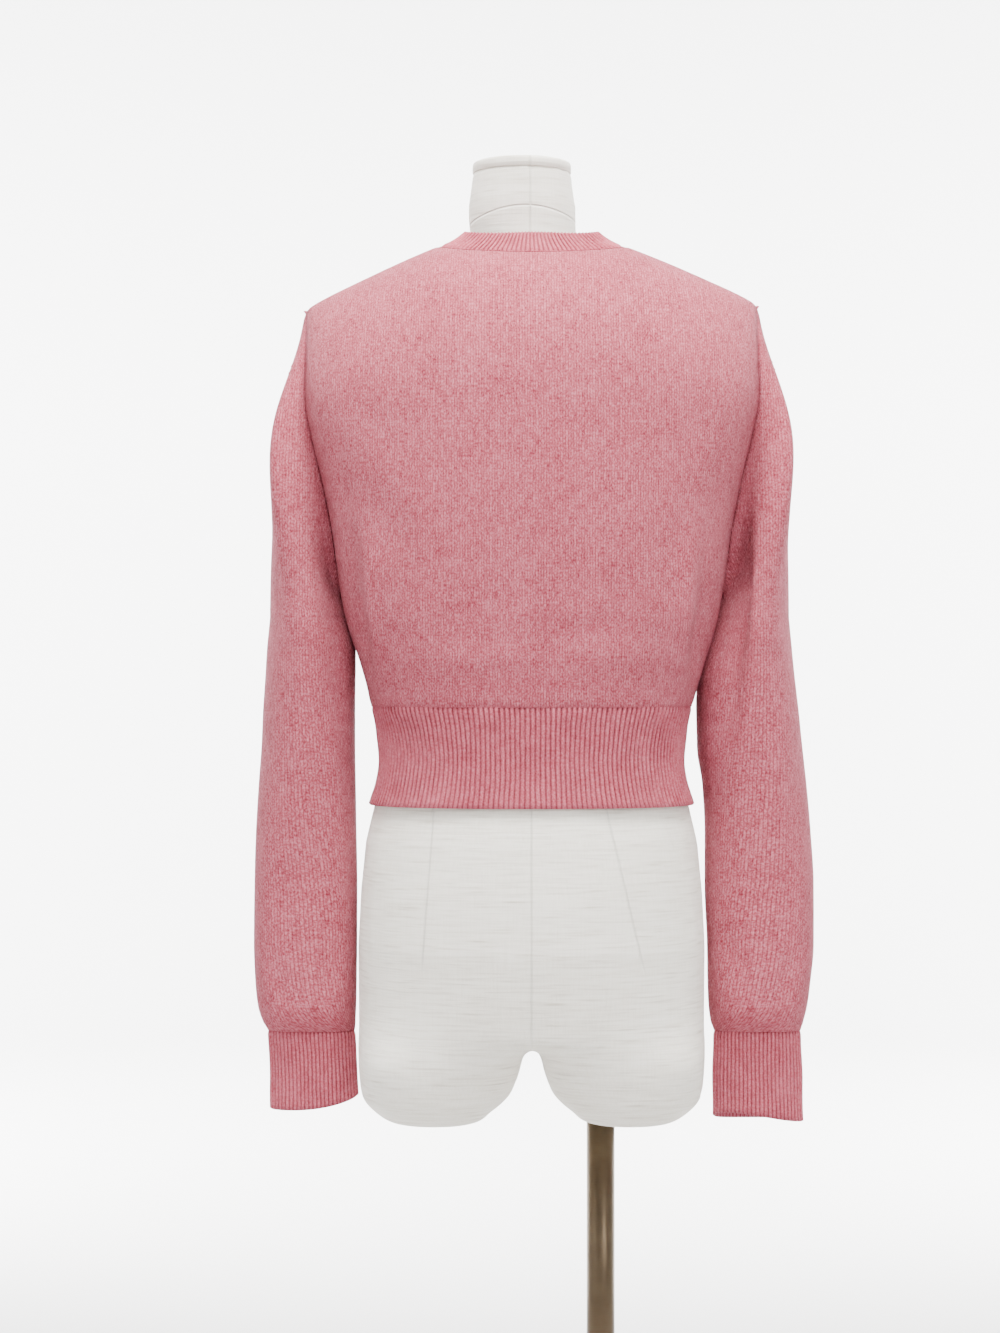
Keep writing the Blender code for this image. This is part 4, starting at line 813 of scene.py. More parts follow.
def cloth_shell(name, grid, outward, uv, material, raised=None):
    """A thin shell of cloth with rolled edges, whose outside is the grid."""
    outer = grid if raised is None else grid + outward * raised[..., None]
    inner = grid - outward * CLOTH
    rows, columns = grid.shape[:2]
    count = rows * columns
    flat_outer = outer.reshape(-1, 3)
    flat_inner = inner.reshape(-1, 3)
    flat_uv = uv.reshape(-1, 2)
    points = [flat_outer, flat_inner]
    uvs = [flat_uv, flat_uv]
    index = np.arange(count).reshape(rows, columns)
    faces = []
    for r in range(rows - 1):
        for c in range(columns - 1):
            quad = (index[r, c], index[r, c + 1], index[r + 1, c + 1], index[r + 1, c])
            faces.append(quad)
            faces.append(tuple(count + k for k in reversed(quad)))
    edges = (
        (index[0], index[1]), (index[-1], index[-2]),
        (index[:, 0], index[:, 1]), (index[:, -1], index[:, -2]),
    )
    start = 2 * count
    for edge, inside in edges:
        # A rolled edge: one more row of points, pushed out past the edge.
        push = unit(flat_outer[edge] - flat_outer[inside]) * CLOTH * EDGE_PUSH
        place = np.arange(len(edge))
        push *= ease(np.minimum(place, place[::-1]) / 4)[:, None]
        points.append((flat_outer[edge] + flat_inner[edge]) / 2 + push)
        uvs.append(flat_uv[edge])
        for k in range(len(edge) - 1):
            faces.append((edge[k], edge[k + 1], start + k + 1, start + k))
            faces.append((start + k, start + k + 1, count + edge[k + 1], count + edge[k]))
        start += len(edge)
    thing = mesh_object(name, np.concatenate(points), faces, material, np.concatenate(uvs))
    shape = bmesh.new()
    shape.from_mesh(thing.data)
    bmesh.ops.holes_fill(shape, edges=shape.edges, sides=8)
    bmesh.ops.recalc_face_normals(shape, faces=shape.faces)
    if shape.calc_volume(signed=True) < 0:
        bmesh.ops.reverse_faces(shape, faces=shape.faces)
    shape.to_mesh(thing.data)
    shape.free()
    thing.data.shade_smooth()
    return thing


# Painted shade: multiplied into the knit's colour in the hollows round the stitches and between
# their columns.
PAINTED_FURROW_SHADE = (0.48, 0.34, 0.38)
KNIT_SHEEN = (1.0, 0.80, 0.84)
WANDER = 0.55                 # how far a column wanders, in columns of stitches
LIFT = 0.6                    # how far a row rises and falls, in rows of stitches
STITCH_LEAN = 0.9             # rows that a stitch's leg rises towards its column's edge


def knit_material(name, wale, course, relief, furrow, marl):
    """Marled stockinette: leaning stitches in columns, on the cloth's own UV map.

    Furrow is how strongly the hollow between two columns is darkened as painted
    shade, and marl how strongly the yarn varies from light to dark.
    """
    material, shader = plain_material(name, PINK, 0.86)
    shader.inputs["Sheen Weight"].default_value = 0.06
    shader.inputs["Sheen Roughness"].default_value = 0.40
    shader.inputs["Sheen Tint"].default_value = (*KNIT_SHEEN, 1.0)
    shader.inputs["Specular IOR Level"].default_value = 0.18
    brush = Brush(material, shader)
    step = brush.step
    uv_map = brush.add("UVMap")
    uv_map.uv_map = "UVMap"
    cloth = uv_map.outputs["UV"]
    parts = brush.add("SeparateXYZ")
    brush.feed(parts.inputs["Vector"], cloth)
    drift = brush.noise(cloth, (35.0, 35.0, 1.0), 2.0)
    wander = step("MULTIPLY", step("SUBTRACT", drift, 0.5), WANDER)
    drift = brush.noise(cloth, (50.0, 50.0, 1.0), 2.0, offset=7.0)
    lift = step("MULTIPLY", step("SUBTRACT", drift, 0.5), LIFT)
    u = step("ADD", step("DIVIDE", parts.outputs["X"], wale), wander)
    v = step("ADD", step("DIVIDE", parts.outputs["Y"], course), lift)
    across = step("MULTIPLY", step("ABSOLUTE", step("SUBTRACT", step("FRACT", u), 0.5)), 2.0)
    leg = step("POWER", step("SINE", step("MULTIPLY", across, math.pi)), 0.6)
    lean = step("FRACT", step("SUBTRACT", v, step("MULTIPLY", across, STITCH_LEAN)))
    loop = step("SINE", step("MULTIPLY", lean, math.pi))
    rounded = step("MULTIPLY", leg, step("ADD", step("MULTIPLY", loop, 0.5), 0.5))
    between = step("POWER", across, 2.2)

    # The marl: each column of stitches has its own run of lighter and darker
    # yarn, and every few stitches carry a fleck.
    column = brush.add("CombineXYZ")
    brush.feed(column.inputs["X"], step("MULTIPLY", step("FLOOR", u), 3.71))
    brush.feed(column.inputs["Y"], parts.outputs["Y"])
    streak = brush.noise(column.outputs["Vector"], (1.0, 120.0, 1.0), 4.0)
    fleck = brush.noise(cloth, (900.0, 520.0, 1.0), 2.0)
    patchy = brush.noise(cloth, (30.0, 30.0, 1.0), 2.0, offset=3.0)
    tone = brush.total((fleck, 0.58), (streak, 0.34), (patchy, 0.08))
    tone = step("ADD", step("MULTIPLY", step("SUBTRACT", tone, 0.5), marl), 0.5)
    yarn = brush.ramp(tone, (0.36, PINK_DEEP), (0.635, PINK_LIGHT), (0.49, PINK))
    # Painted shade: the hollows round each stitch and the furrows between columns are darkened in
    # the colour, as occlusion would darken them.
    hollow = step("MULTIPLY", step("SUBTRACT", 1.0, rounded), 0.26)
    hollow = step("ADD", hollow, step("MULTIPLY", between, furrow), clamp=True)
    brush.paint(brush.mix(hollow, yarn, PAINTED_FURROW_SHADE, "MULTIPLY"))

    fuzz = brush.noise(cloth, (1500.0, 1500.0, 1.0), 3.0, offset=11.0)
    brush.bump(brush.total((rounded, 1.0), (fuzz, 0.35), (fleck, 0.4), (between, -0.8)), 0.8,
               relief)
    return material


FAR_AWAY = 9.0
POINTS_AT_ONCE = 4000
# How deep and how wide cloth turns in beside a seam.
PANEL_ROLL = (0.0007, 0.0030)
NECKLINE_ROLL = (0.0010, 0.0024)
RIB_ROLL = (0.0010, 0.0022)
BAND_ROLL = (0.0008, 0.0020)
NECKBAND_ROLL = (0.0014, 0.0024)


def seam_dip(grid, spots, depth, width):
    """How far cloth turns in beside the seams, which are lists of points."""
    flat = grid.reshape(-1, 3)
    nearest = np.full(len(flat), FAR_AWAY)
    for line in spots:
        for start in range(0, len(flat), POINTS_AT_ONCE):
            stop = start + POINTS_AT_ONCE
            away = np.linalg.norm(flat[start:stop, None] - line[None], axis=2).min(axis=1)
            nearest[start:stop] = np.minimum(nearest[start:stop], away)
    return (depth * np.exp(-((nearest / width) ** 2))).reshape(grid.shape[:-1])


def lap_lift(points):
    """How far the right front rises towards the overlap of the bands."""
    across = points[..., 0] - GARMENT_SHIFT
    return LAP * ease((across + LAP_START) / (LAP_START - BAND_HALF - 0.002))


def dressed_panel(turns_levels, mirror, lifted):
    """Points and outward directions of a panel, with its folds and seam edges."""
    turn = turns_levels[..., 0] * mirror
    level = turns_levels[..., 1]
    grid = body_points(turn, level)
    outward = body_normals(turn, level)
    fold = fold_shift(grid, BODY_FOLDS)
    fade = ease((level - HEM_TOP) / 0.02) * ease((NECK_POINT - level) / 0.05)
    seams = [grid[0], grid[:, -1], grid[-1]]
    neck = slice(NECK_COLUMNS + 1)
    if turns_levels[0, 0, 0] < 0:
        # The back has a second side, and its neckline lies in the middle.
        seams.append(grid[:, 0])
        neck = slice(SHOULDER_COLUMNS, -SHOULDER_COLUMNS)
    roll = seam_dip(grid, seams, *PANEL_ROLL)
    roll += seam_dip(grid, [grid[-1, neck]], *NECKLINE_ROLL)
    grid = grid + crease(grid) - outward * (fold * fade + roll)[..., None]
    grid[..., 2] -= corner_tuck(grid)
    if lifted:
        grid = grid + outward * lap_lift(grid)[..., None]
    return grid, outward


def sew_on(piece, node):
    """Hides one knitted piece's CAD node and puts the new piece on the root body."""
    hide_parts(node)
    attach(piece, "root")


stockinette = knit_material("marled_stockinette", WALE, COURSE, 0.00042, 0.55, 1.0)
back_plan = back_patch()
back_grid, back_outward = dressed_panel(back_plan, 1.0, False)
back_uv = fabric_uv(back_grid, back_grid.shape[1] // 2)
back = cloth_shell("knit_back", back_grid, back_outward, back_uv, stockinette)
sew_on(back, "back")


# The two fronts: mirrored stockinette panels from the shoulder to the hem. The
# wearer's right one rises a little towards the middle, where its band laps
# over the left one's.
front_plan = front_patch()
for side_name, mirror in (("left", 1.0), ("right", -1.0)):
    front_grid, front_outward = dressed_panel(front_plan, mirror, mirror < 0)
    front_uv = fabric_uv(front_grid, 0)
    front = cloth_shell("knit_front_" + side_name, front_grid, front_outward, front_uv,
                        stockinette)
    sew_on(front, "front_" + side_name)


# The hem: a deep band of one and one rib in three lengths, one at the back and
# one on each front. It grips the waist and flares a little at its lower edge.
RIB_PITCH = 0.0038
RIB_HEIGHT = 0.0013
POINTS_TO_A_RIB = 8
RIB_ROUNDNESS = 0.7           # under one, the ribs are wide and the furrows narrow
EDGE_RUN = 0.004              # height over which the ribs fade out at a cast-on edge
EDGE_RIBS = 0.35              # share of their height that is left there
WANDER_HEIGHT = 0.00035


def rib_profile(count):
    """Round ribs between narrow furrows, as heights from the cloth's surface."""
    place = np.arange(count) / POINTS_TO_A_RIB
    wave = 0.5 + 0.5 * np.cos(2 * np.pi * place)
    return RIB_HEIGHT * (wave ** RIB_ROUNDNESS - 1.0)


def rib_wander(grid, phase):
    """Small uneven waves in a ribbed strip, so that no two ribs lie alike."""
    x, y, z = grid[..., 0], grid[..., 1], grid[..., 2]
    waves = np.sin(x * 95 + phase) * np.cos(z * 130 - phase) + np.sin(y * 80 + z * 60)
    return WANDER_HEIGHT * waves


def cast_on_ribs(count, levels, bottom):
    """Heights of ribs in rows at some levels, lower beside the edge at the bottom."""
    near_edge = ease((levels - bottom) / EDGE_RUN)[:, None]
    return rib_profile(count)[None, :] * (EDGE_RIBS + (1 - EDGE_RIBS) * near_edge)


rib_knit = knit_material("marled_rib", RIB_PITCH, COURSE, 0.00030, 1.0, 0.6)
HEM_ROWS = 22
HEM_BACK_RIBS = 88
hem_levels = np.linspace(HEM_BOTTOM + 0.0006, HEM_TOP, HEM_ROWS)
hem_start = float(turn_at(BAND_HALF, HEM_TOP, True))
front_line = body_points(np.linspace(90.0, hem_start, 300), np.full(300, HEM_TOP))
front_ribs = round(run_along(front_line)[-1] / RIB_PITCH)
back_turns = even_turns(HEM_TOP, -90.0, 90.0, HEM_BACK_RIBS * POINTS_TO_A_RIB + 1)
front_turns = even_turns(HEM_TOP, hem_start, 90.0, front_ribs * POINTS_TO_A_RIB + 1)
for side_name, turns in (("back", back_turns), ("left", front_turns), ("right", -front_turns)):
    rows = []
    outward_rows = []
    for level in hem_levels:
        turn = turns
        if side_name != "back":
            # The front edge stays straight beside its band.
            edge = abs(float(turn_at(BAND_HALF, level, True)))
            stretch = (edge - 90.0) / (hem_start - 90.0)
            turn = np.sign(turns) * (90.0 + (np.abs(turns) - 90.0) * stretch)
        rows.append(body_points(turn, np.full(len(turn), level)))
        outward_rows.append(body_normals(turn, np.full(len(turn), level)))
    grid = np.array(rows)
    outward = np.array(outward_rows)
    roll = seam_dip(grid, [grid[-1], grid[:, 0], grid[:, -1]], *RIB_ROLL)
    ribs = cast_on_ribs(grid.shape[1], hem_levels, HEM_BOTTOM)
    uv = rib_uv(grid)
    grid = grid + outward * (rib_wander(grid, 1.3) - roll)[..., None]
    if side_name == "right":
        grid = grid + outward * lap_lift(grid)[..., None]
    hem = cloth_shell("hem_ribbing_" + side_name, grid, outward, uv, rib_knit, raised=ribs)
    sew_on(hem, "hem_rib_" + side_name)


# The front bands: the wearer's right one is ribbed and laps over the left one,
# which is plain. Both are knitted sideways on to the fronts' edges and run from
# the hem to the neckline.
BAND_RIBS = 8
BAND_ROWS = 140
BAND_BEND = 0.90              # above here the rows of stitches lean to the neckline
UNDER_COLUMNS = 17


def band_grid(levels, columns):
    """Points, outward directions and neckline of a band on the middle line."""
    across = np.linspace(-BAND_HALF, BAND_HALF, columns)
    neck = NECK_POINT - THROAT_DROP * np.sqrt(1 - (across / NECK_HALF) ** 2)
    base = levels[:, None] + np.zeros(columns)[None]
    share = ease((base - BAND_BEND) / (levels[-1] - BAND_BEND))
    base = base + share * (neck[None] - levels[-1])
    turn = np.array([turn_at(across, row, True) for row in base])
    return body_points(turn, base), body_normals(turn, base)


band_top = NECK_POINT - THROAT_DROP * math.sqrt(1 - (BAND_HALF / NECK_HALF) ** 2)
band_levels = np.linspace(HEM_BOTTOM + 0.0004, band_top, BAND_ROWS)
over_grid, over_outward = band_grid(band_levels, BAND_RIBS * POINTS_TO_A_RIB + 1)
over_grid = over_grid + over_outward * LAP
over_ribs = np.tile(rib_profile(over_grid.shape[1]), (len(over_grid), 1))
over_uv = rib_uv(over_grid)
roll = seam_dip(over_grid, [over_grid[-1]], *BAND_ROLL)
over_band = cloth_shell("buttonhole_band_rib", over_grid - over_outward * roll[..., None],
                        over_outward, over_uv, rib_knit, raised=over_ribs)
sew_on(over_band, "buttonhole_band")

under_grid, under_outward = band_grid(band_levels[::2], UNDER_COLUMNS)
under_uv = fabric_uv(under_grid, UNDER_COLUMNS // 2)
under_band = cloth_shell("button_band_plain", under_grid, under_outward, under_uv, stockinette)
sew_on(under_band, "button_band")


# The neckband: a narrow rib picked up round the neckline. It stands up at the
# back of the neck, lies flatter in front, and its ends lap with the bands.
NECKBAND_IN = {"side": 0.022, "back": 0.018, "front": 0.0125}
NECKBAND_UP = {"side": 0.0125, "back": 0.018, "front": 0.0215}
NECKBAND_ROWS = 12
NECKBAND_START = 0.02         # share of the band's height left free above the seam
NECKBAND_BOW = 0.0013
NECK_COUNT = 60               # points on each quarter of the neckline
NECK_SMOOTH_ROUNDS = 260
NECK_MIDDLE = np.array((0.002, -0.012, 0.0))


def neckline(columns, front, side):
    """Points and directions of the neckline on one side, from its middle out."""
    end = math.acos(BAND_HALF / NECK_HALF) if front else math.pi / 2
    angle = np.linspace(end, 0.0, columns)
    level = NECK_POINT - (THROAT_DROP if front else NAPE_DROP) * np.sin(angle)
    turn = turn_at(NECK_HALF * np.cos(angle), level, front) * side
    return body_points(turn, level), body_normals(turn, level)


def neckband_rise(seam):
    """The way in and up from each point of the neckline to the band's top."""
    arm = seam - NECK_MIDDLE
    arm[:, 2] = 0.0
    arm = unit(arm)
    back = np.where(arm[:, 1] > 0, arm[:, 1] ** 2, 0.0)
    front = np.where(arm[:, 1] <= 0, arm[:, 1] ** 2, 0.0)
    share = {"side": arm[:, 0] ** 2, "back": back, "front": front}
    inward = sum(NECKBAND_IN[key] * share[key] for key in share)
    upward = sum(NECKBAND_UP[key] * share[key] for key in share)
    return np.array((0.0, 0.0, 1.0)) * upward[:, None] - arm * inward[:, None]


def smooth_line(line, rounds):
    """A line with its corners eased by averaging neighbours."""
    eased = line.copy()
    for _ in range(rounds):
        eased[1:-1] = (eased[:-2] + 2 * eased[1:-1] + eased[2:]) / 4
    return eased


right_front, right_out = neckline(NECK_COUNT, True, -1.0)
right_back = neckline(NECK_COUNT, False, -1.0)[0]
left_back = neckline(NECK_COUNT, False, 1.0)[0]
left_front = neckline(NECK_COUNT, True, 1.0)[0]
lift = lap_lift(right_front)[:, None]
seam = np.concatenate((
    over_grid[-1][::-1], (right_front + right_out * lift)[1:],
    right_back[::-1][1:], left_back[1:], left_front[::-1][1:], under_grid[-1][::-1][1:],
))
run = run_along(seam)
neck_count = round(run[-1] / RIB_PITCH) * POINTS_TO_A_RIB + 1
wanted = np.linspace(0.0, run[-1], neck_count)
line = np.stack([np.interp(wanted, run, seam[:, k]) for k in range(3)], axis=1)
smooth = smooth_line(line, NECK_SMOOTH_ROUNDS)
rise = neckband_rise(line)
away = unit(np.cross(np.gradient(smooth, axis=0), rise))
rows = []
for part in np.linspace(NECKBAND_START, 1.0, NECKBAND_ROWS):
    # The band bows outwards a little between its seam and its top edge.
    bow = NECKBAND_BOW * math.sin(math.pi * part)
    middle = line * (1 - part) + smooth * part + rise * part
    rows.append(middle + away * bow)
grid = np.array(rows)
outward = np.repeat(away[None], len(rows), axis=0)
facing = np.sum(outward[0] * (line - NECK_MIDDLE - (0.0, 0.0, 0.9)), axis=-1).mean()
outward = outward * (1.0 if facing > 0 else -1.0)
roll = seam_dip(grid, [grid[0]], *NECKBAND_ROLL)
ribs = np.tile(rib_profile(neck_count), (len(grid), 1))
uv = rib_uv(grid)
neck_line = grid[0]
neck_away = outward[0]
neckband = cloth_shell("neckband_rib", grid - outward * roll[..., None], outward, uv, rib_knit,
                       raised=ribs)
sew_on(neckband, "neckband")


# The sleeves: long, nearly straight stockinette tubes with shaped caps. No arm
# fills them, so they hang flat against the body, roll in soft lengthwise folds,
# and puff out a little over the tighter cuffs.
SLEEVE_NAMES = ("height", "outer", "inner", "depth", "middle")
SLEEVE_LEFT = Table(
    SLEEVE_NAMES,
    (
        (0.3365, 0.2146, 0.1428, 0.0180, -0.012),
        (0.3650, 0.2150, 0.1436, 0.0175, -0.012),
        (0.4000, 0.2172, 0.1450, 0.0180, -0.012),
        (0.4070, 0.2205, 0.1450, 0.0212, -0.012),
        (0.4200, 0.2245, 0.1444, 0.0245, -0.011),
        (0.4400, 0.2265, 0.1440, 0.0258, -0.010),
        (0.4700, 0.2276, 0.1436, 0.0268, -0.009),
        (0.5200, 0.2270, 0.1434, 0.0300, -0.008),
        (0.5600, 0.2258, 0.1440, 0.0340, -0.007),
        (0.6000, 0.2236, 0.1446, 0.0385, -0.006),
        (0.6300, 0.2214, 0.1450, 0.0425, -0.005),
        (0.6600, 0.2200, 0.1450, 0.0455, -0.004),
        (0.6900, 0.2178, 0.1450, 0.0490, -0.003),
        (0.7050, 0.2168, 0.1452, 0.0505, -0.003),
        (0.7200, 0.2152, 0.1484, 0.0518, -0.002),
        (0.7350, 0.2136, 0.1528, 0.0530, -0.002),
    ),
)
SLEEVE_RIGHT = Table(
    SLEEVE_NAMES,
    (
        (0.3260, 0.2196, 0.1456, 0.0180, -0.012),
        (0.3600, 0.2187, 0.1456, 0.0175, -0.012),
        (0.4000, 0.2180, 0.1458, 0.0180, -0.012),
        (0.4070, 0.2195, 0.1440, 0.0212, -0.012),
        (0.4200, 0.2225, 0.1422, 0.0245, -0.011),
        (0.4400, 0.2250, 0.1413, 0.0258, -0.010),
        (0.4700, 0.2276, 0.1408, 0.0268, -0.009),
        (0.5200, 0.2274, 0.1388, 0.0300, -0.008),
        (0.5600, 0.2250, 0.1388, 0.0340, -0.007),
        (0.6000, 0.2215, 0.1368, 0.0385, -0.006),
        (0.6300, 0.2180, 0.1326, 0.0425, -0.005),
        (0.6600, 0.2145, 0.1325, 0.0455, -0.004),
        (0.6900, 0.2108, 0.1352, 0.0490, -0.003),
        (0.7050, 0.2092, 0.1392, 0.0505, -0.003),
        (0.7200, 0.2076, 0.1442, 0.0518, -0.002),
        (0.7350, 0.2060, 0.1488, 0.0530, -0.002),
    ),
)
LEFT_SLEEVE_FOLDS = (
    (0.166, 0.850, 0.157, 0.640, 0.050, 0.0050, 0.014),
    (0.200, 0.760, 0.204, 0.600, 0.045, 0.0022, 0.014),
    (0.180, 0.560, 0.206, 0.490, 0.032, 0.0020, 0.014),
    (0.170, 0.840, 0.180, 0.690, -0.058, 0.0035, 0.015),
    (0.206, 0.530, 0.178, 0.460, -0.034, 0.0022, 0.014),
    (0.1560, 0.775, 0.1455, 0.702, 0.0, -0.0019, 0.022),
    (0.158, 0.880, 0.150, 0.600, 0.036, 0.0030, 0.0080),
    (0.190, 0.930, 0.200, 0.830, 0.045, 0.0012, 0.010),
    (0.166, 0.700, 0.172, 0.520, 0.040, 0.0016, 0.008),
    (0.190, 0.640, 0.186, 0.450, 0.035, -0.0013, 0.010),
    (0.214, 0.700, 0.216, 0.560, 0.020, 0.0014, 0.011),
    (0.155, 0.470, 0.178, 0.430, 0.020, 0.0016, 0.008),
    (0.213, 0.462, 0.196, 0.424, 0.015, 0.0016, 0.008),
    (0.168, 0.440, 0.170, 0.408, 0.020, 0.0011, 0.006),
    (0.188, 0.436, 0.187, 0.408, 0.020, 0.0012, 0.006),
    (0.205, 0.438, 0.203, 0.408, 0.018, 0.0010, 0.006),
    (0.176, 0.440, 0.176, 0.408, -0.040, 0.0012, 0.006),
    (0.196, 0.438, 0.195, 0.408, -0.040, 0.0012, 0.006),
    (0.180, 0.660, 0.186, 0.520, -0.045, 0.0018, 0.010),
)
RIGHT_SLEEVE_FOLDS = (
    (-0.166, 0.880, -0.154, 0.620, 0.056, 0.0075, 0.016),
    (-0.186, 0.860, -0.178, 0.640, 0.056, -0.0018, 0.013),
    (-0.160, 0.600, -0.152, 0.450, 0.034, 0.0030, 0.013),
    (-0.172, 0.840, -0.168, 0.680, -0.058, 0.0035, 0.015),
    (-0.205, 0.540, -0.176, 0.465, -0.034, 0.0022, 0.014),
    (-0.1540, 0.775, -0.1325, 0.658, 0.0, -0.0021, 0.022),
    (-0.165, 0.915, -0.153, 0.620, 0.046, 0.0088, 0.0110),
    (-0.1765, 0.900, -0.1690, 0.600, 0.048, -0.0030, 0.0055),
    (-0.150, 0.690, -0.141, 0.560, 0.030, 0.0030, 0.0100),
    (-0.190, 0.930, -0.197, 0.830, 0.045, 0.0012, 0.010),
    (-0.176, 0.700, -0.170, 0.500, 0.040, 0.0016, 0.008),
    (-0.196, 0.660, -0.192, 0.460, 0.035, -0.0013, 0.010),
    (-0.212, 0.640, -0.214, 0.520, 0.020, 0.0014, 0.011),
    (-0.150, 0.480, -0.176, 0.436, 0.020, 0.0018, 0.008),
    (-0.214, 0.470, -0.196, 0.428, 0.015, 0.0016, 0.008),
    (-0.166, 0.440, -0.168, 0.408, 0.020, 0.0011, 0.006),
    (-0.186, 0.436, -0.185, 0.408, 0.020, 0.0012, 0.006),
    (-0.204, 0.438, -0.202, 0.408, 0.018, 0.0010, 0.006),
    (-0.176, 0.440, -0.176, 0.408, -0.040, 0.0012, 0.006),
    (-0.196, 0.438, -0.195, 0.408, -0.040, 0.0012, 0.006),
    (-0.180, 0.670, -0.185, 0.530, -0.045, 0.0018, 0.010),
)
CUFF_TOP = 0.400
SLEEVE_COLUMNS = 80           # points up each half of the armhole
CAP_ROWS = 70
TUBE_ROWS = 120
SLEEVE_SQUARENESS = 2.2
LEAVE_OUT_AT_TOP = 0.18       # a cap leaves the armhole mostly downwards at its top
LEAVE_TOP_POWER = 3.0
LEAVE_OUT_BELOW = 0.55
LEAVE_REACH = 1.05            # how far the cap follows its first and last directions
CUFF_FADE = 0.03              # height over which the folds fade out above the cuff
SEAM_ROWS = 14                # rows over which they fade out beside the armhole


def sleeve_ring(table, side, height, angle):
    """Points of a level ring of a sleeve; angle 0 is its outermost point."""
    outer = table.at("outer", height)
    inner = table.at("inner", height)
    power = SLEEVE_SQUARENESS
    radius = (np.abs(np.cos(angle)) ** power + np.abs(np.sin(angle)) ** power) ** (-1 / power)
    across = (outer + inner) / 2 + (outer - inner) / 2 * radius * np.cos(angle)
    depth = table.at("middle", height) + table.at("depth", height) * radius * np.sin(angle)
    return np.stack((side * across, depth, np.full_like(across, height)), axis=-1)


def sleeve_direction(angle, side):
    """The way that the sleeve leaves the armhole: mostly out at its sides."""
    out = np.abs(np.sin(angle))
    low = np.clip(-np.cos(angle), 0.0, 1.0)
    over = LEAVE_OUT_AT_TOP + (1 - LEAVE_OUT_AT_TOP) * out ** LEAVE_TOP_POWER
    under = LEAVE_OUT_BELOW + (1 - LEAVE_OUT_BELOW) * out
    return unit(np.stack((
        side * np.where(np.cos(angle) > 0, over, under),
        0.30 * np.sin(angle),
        -1.0 + 0.45 * out + 0.30 * low,
    ), axis=-1))


def sleeve_rows(table, side, folds):
    """A sleeve's points and outward directions, from the armhole to the cuff."""
    parts = np.linspace(0.0, 1.0, SLEEVE_COLUMNS + 1)
    loop = armhole_loop(SLEEVE_COLUMNS + 1, side)
    angle = np.pi * np.concatenate((1 - parts[::-1], 1 + parts[1:-1]))
    top = table.values[-1, 0]
    ring = sleeve_ring(table, side, top, angle)
    reach = np.linalg.norm(ring - loop, axis=1)[:, None]
    start = sleeve_direction(angle, side) * reach * LEAVE_REACH
    down = np.array((0.0, 0.0, -1.0)) * reach * LEAVE_REACH
    rows = []
    for part in np.linspace(0.0, 1.0, CAP_ROWS + 1):
        rise = part * part * (3 - 2 * part)
        leave = part * (1 - part) ** 2
        arrive = part * part * (part - 1)
        rows.append(loop * (1 - rise) + ring * rise + start * leave + down * arrive)
    heights = np.linspace(top, CUFF_TOP, TUBE_ROWS + 1)[1:]
    rows += [sleeve_ring(table, side, height, angle) for height in heights]
    grid = np.array(rows)
    outward = tube_normals(grid) * side
    fade = ease((grid[..., 2] - CUFF_TOP) / CUFF_FADE)
    fade = fade * ease(np.arange(len(grid)) / SEAM_ROWS)[:, None]
    roll = seam_dip(grid, [grid[0], grid[-1]], *PANEL_ROLL)
    grid = grid + crease(grid) - outward * (fold_shift(grid, folds) * fade + roll)[..., None]
    grid[..., 2] -= corner_tuck(grid)
    return grid, tube_normals(grid) * side


def sleeve_uv(grid, table, side):
    """Lengths on a sleeve's cloth: wales run down it and rows of stitches lie level."""
    turns = np.linspace(-np.pi, np.pi, FINE_TURNS // 2 + 1)
    top = table.values[-1, 0]
    run = run_along(sleeve_ring(table, side, top, turns))
    run -= run[len(run) // 2]
    low = np.minimum(grid[..., 2], top)
    outer = table.at("outer", low)
    inner = table.at("inner", low)
    across = (side * grid[..., 0] - (outer + inner) / 2) / (outer - inner) * 2
    depth = (grid[..., 1] - table.at("middle", low)) / table.at("depth", low)
    angle = np.arctan2(depth, across)
    # The first and last columns lie on the seam, where the angle jumps.
    angle[:, 0] = np.where(angle[:, 1] > 0, np.pi, -np.pi)
    angle[:, -1] = np.where(angle[:, -2] > 0, np.pi, -np.pi)
    around = np.linalg.norm(np.diff(grid, axis=1), axis=2).sum(axis=1)
    size = np.where(grid[:, 0, 2] < top + 0.001, around / (2 * run[-1]), 1.0)
    u = np.interp(angle, turns, run) * size[:, None]
    return np.stack((u, grid[..., 2]), axis=-1)


MARK_ROW = 9                  # of the sleeve's grid, where the cap was narrowed
mark_lines = {}
for side_name, side, table, folds in (
    ("left", 1.0, SLEEVE_LEFT, LEFT_SLEEVE_FOLDS),
    ("right", -1.0, SLEEVE_RIGHT, RIGHT_SLEEVE_FOLDS),
):
    grid, outward = sleeve_rows(table, side, folds)
    # The last column repeats the first, so that the stitches meet at a seam.
    seam_at = SLEEVE_COLUMNS
    grid = np.roll(grid, -seam_at, axis=1)
    outward = np.roll(outward, -seam_at, axis=1)
    grid = np.concatenate((grid, grid[:, :1]), axis=1)
    outward = np.concatenate((outward, outward[:, :1]), axis=1)
    uv = sleeve_uv(grid, table, side)
    mark_lines[side_name] = (grid[MARK_ROW], outward[MARK_ROW])
    sleeve = cloth_shell("knit_sleeve_" + side_name, grid, outward, uv, stockinette)
    sew_on(sleeve, "sleeve_" + side_name)


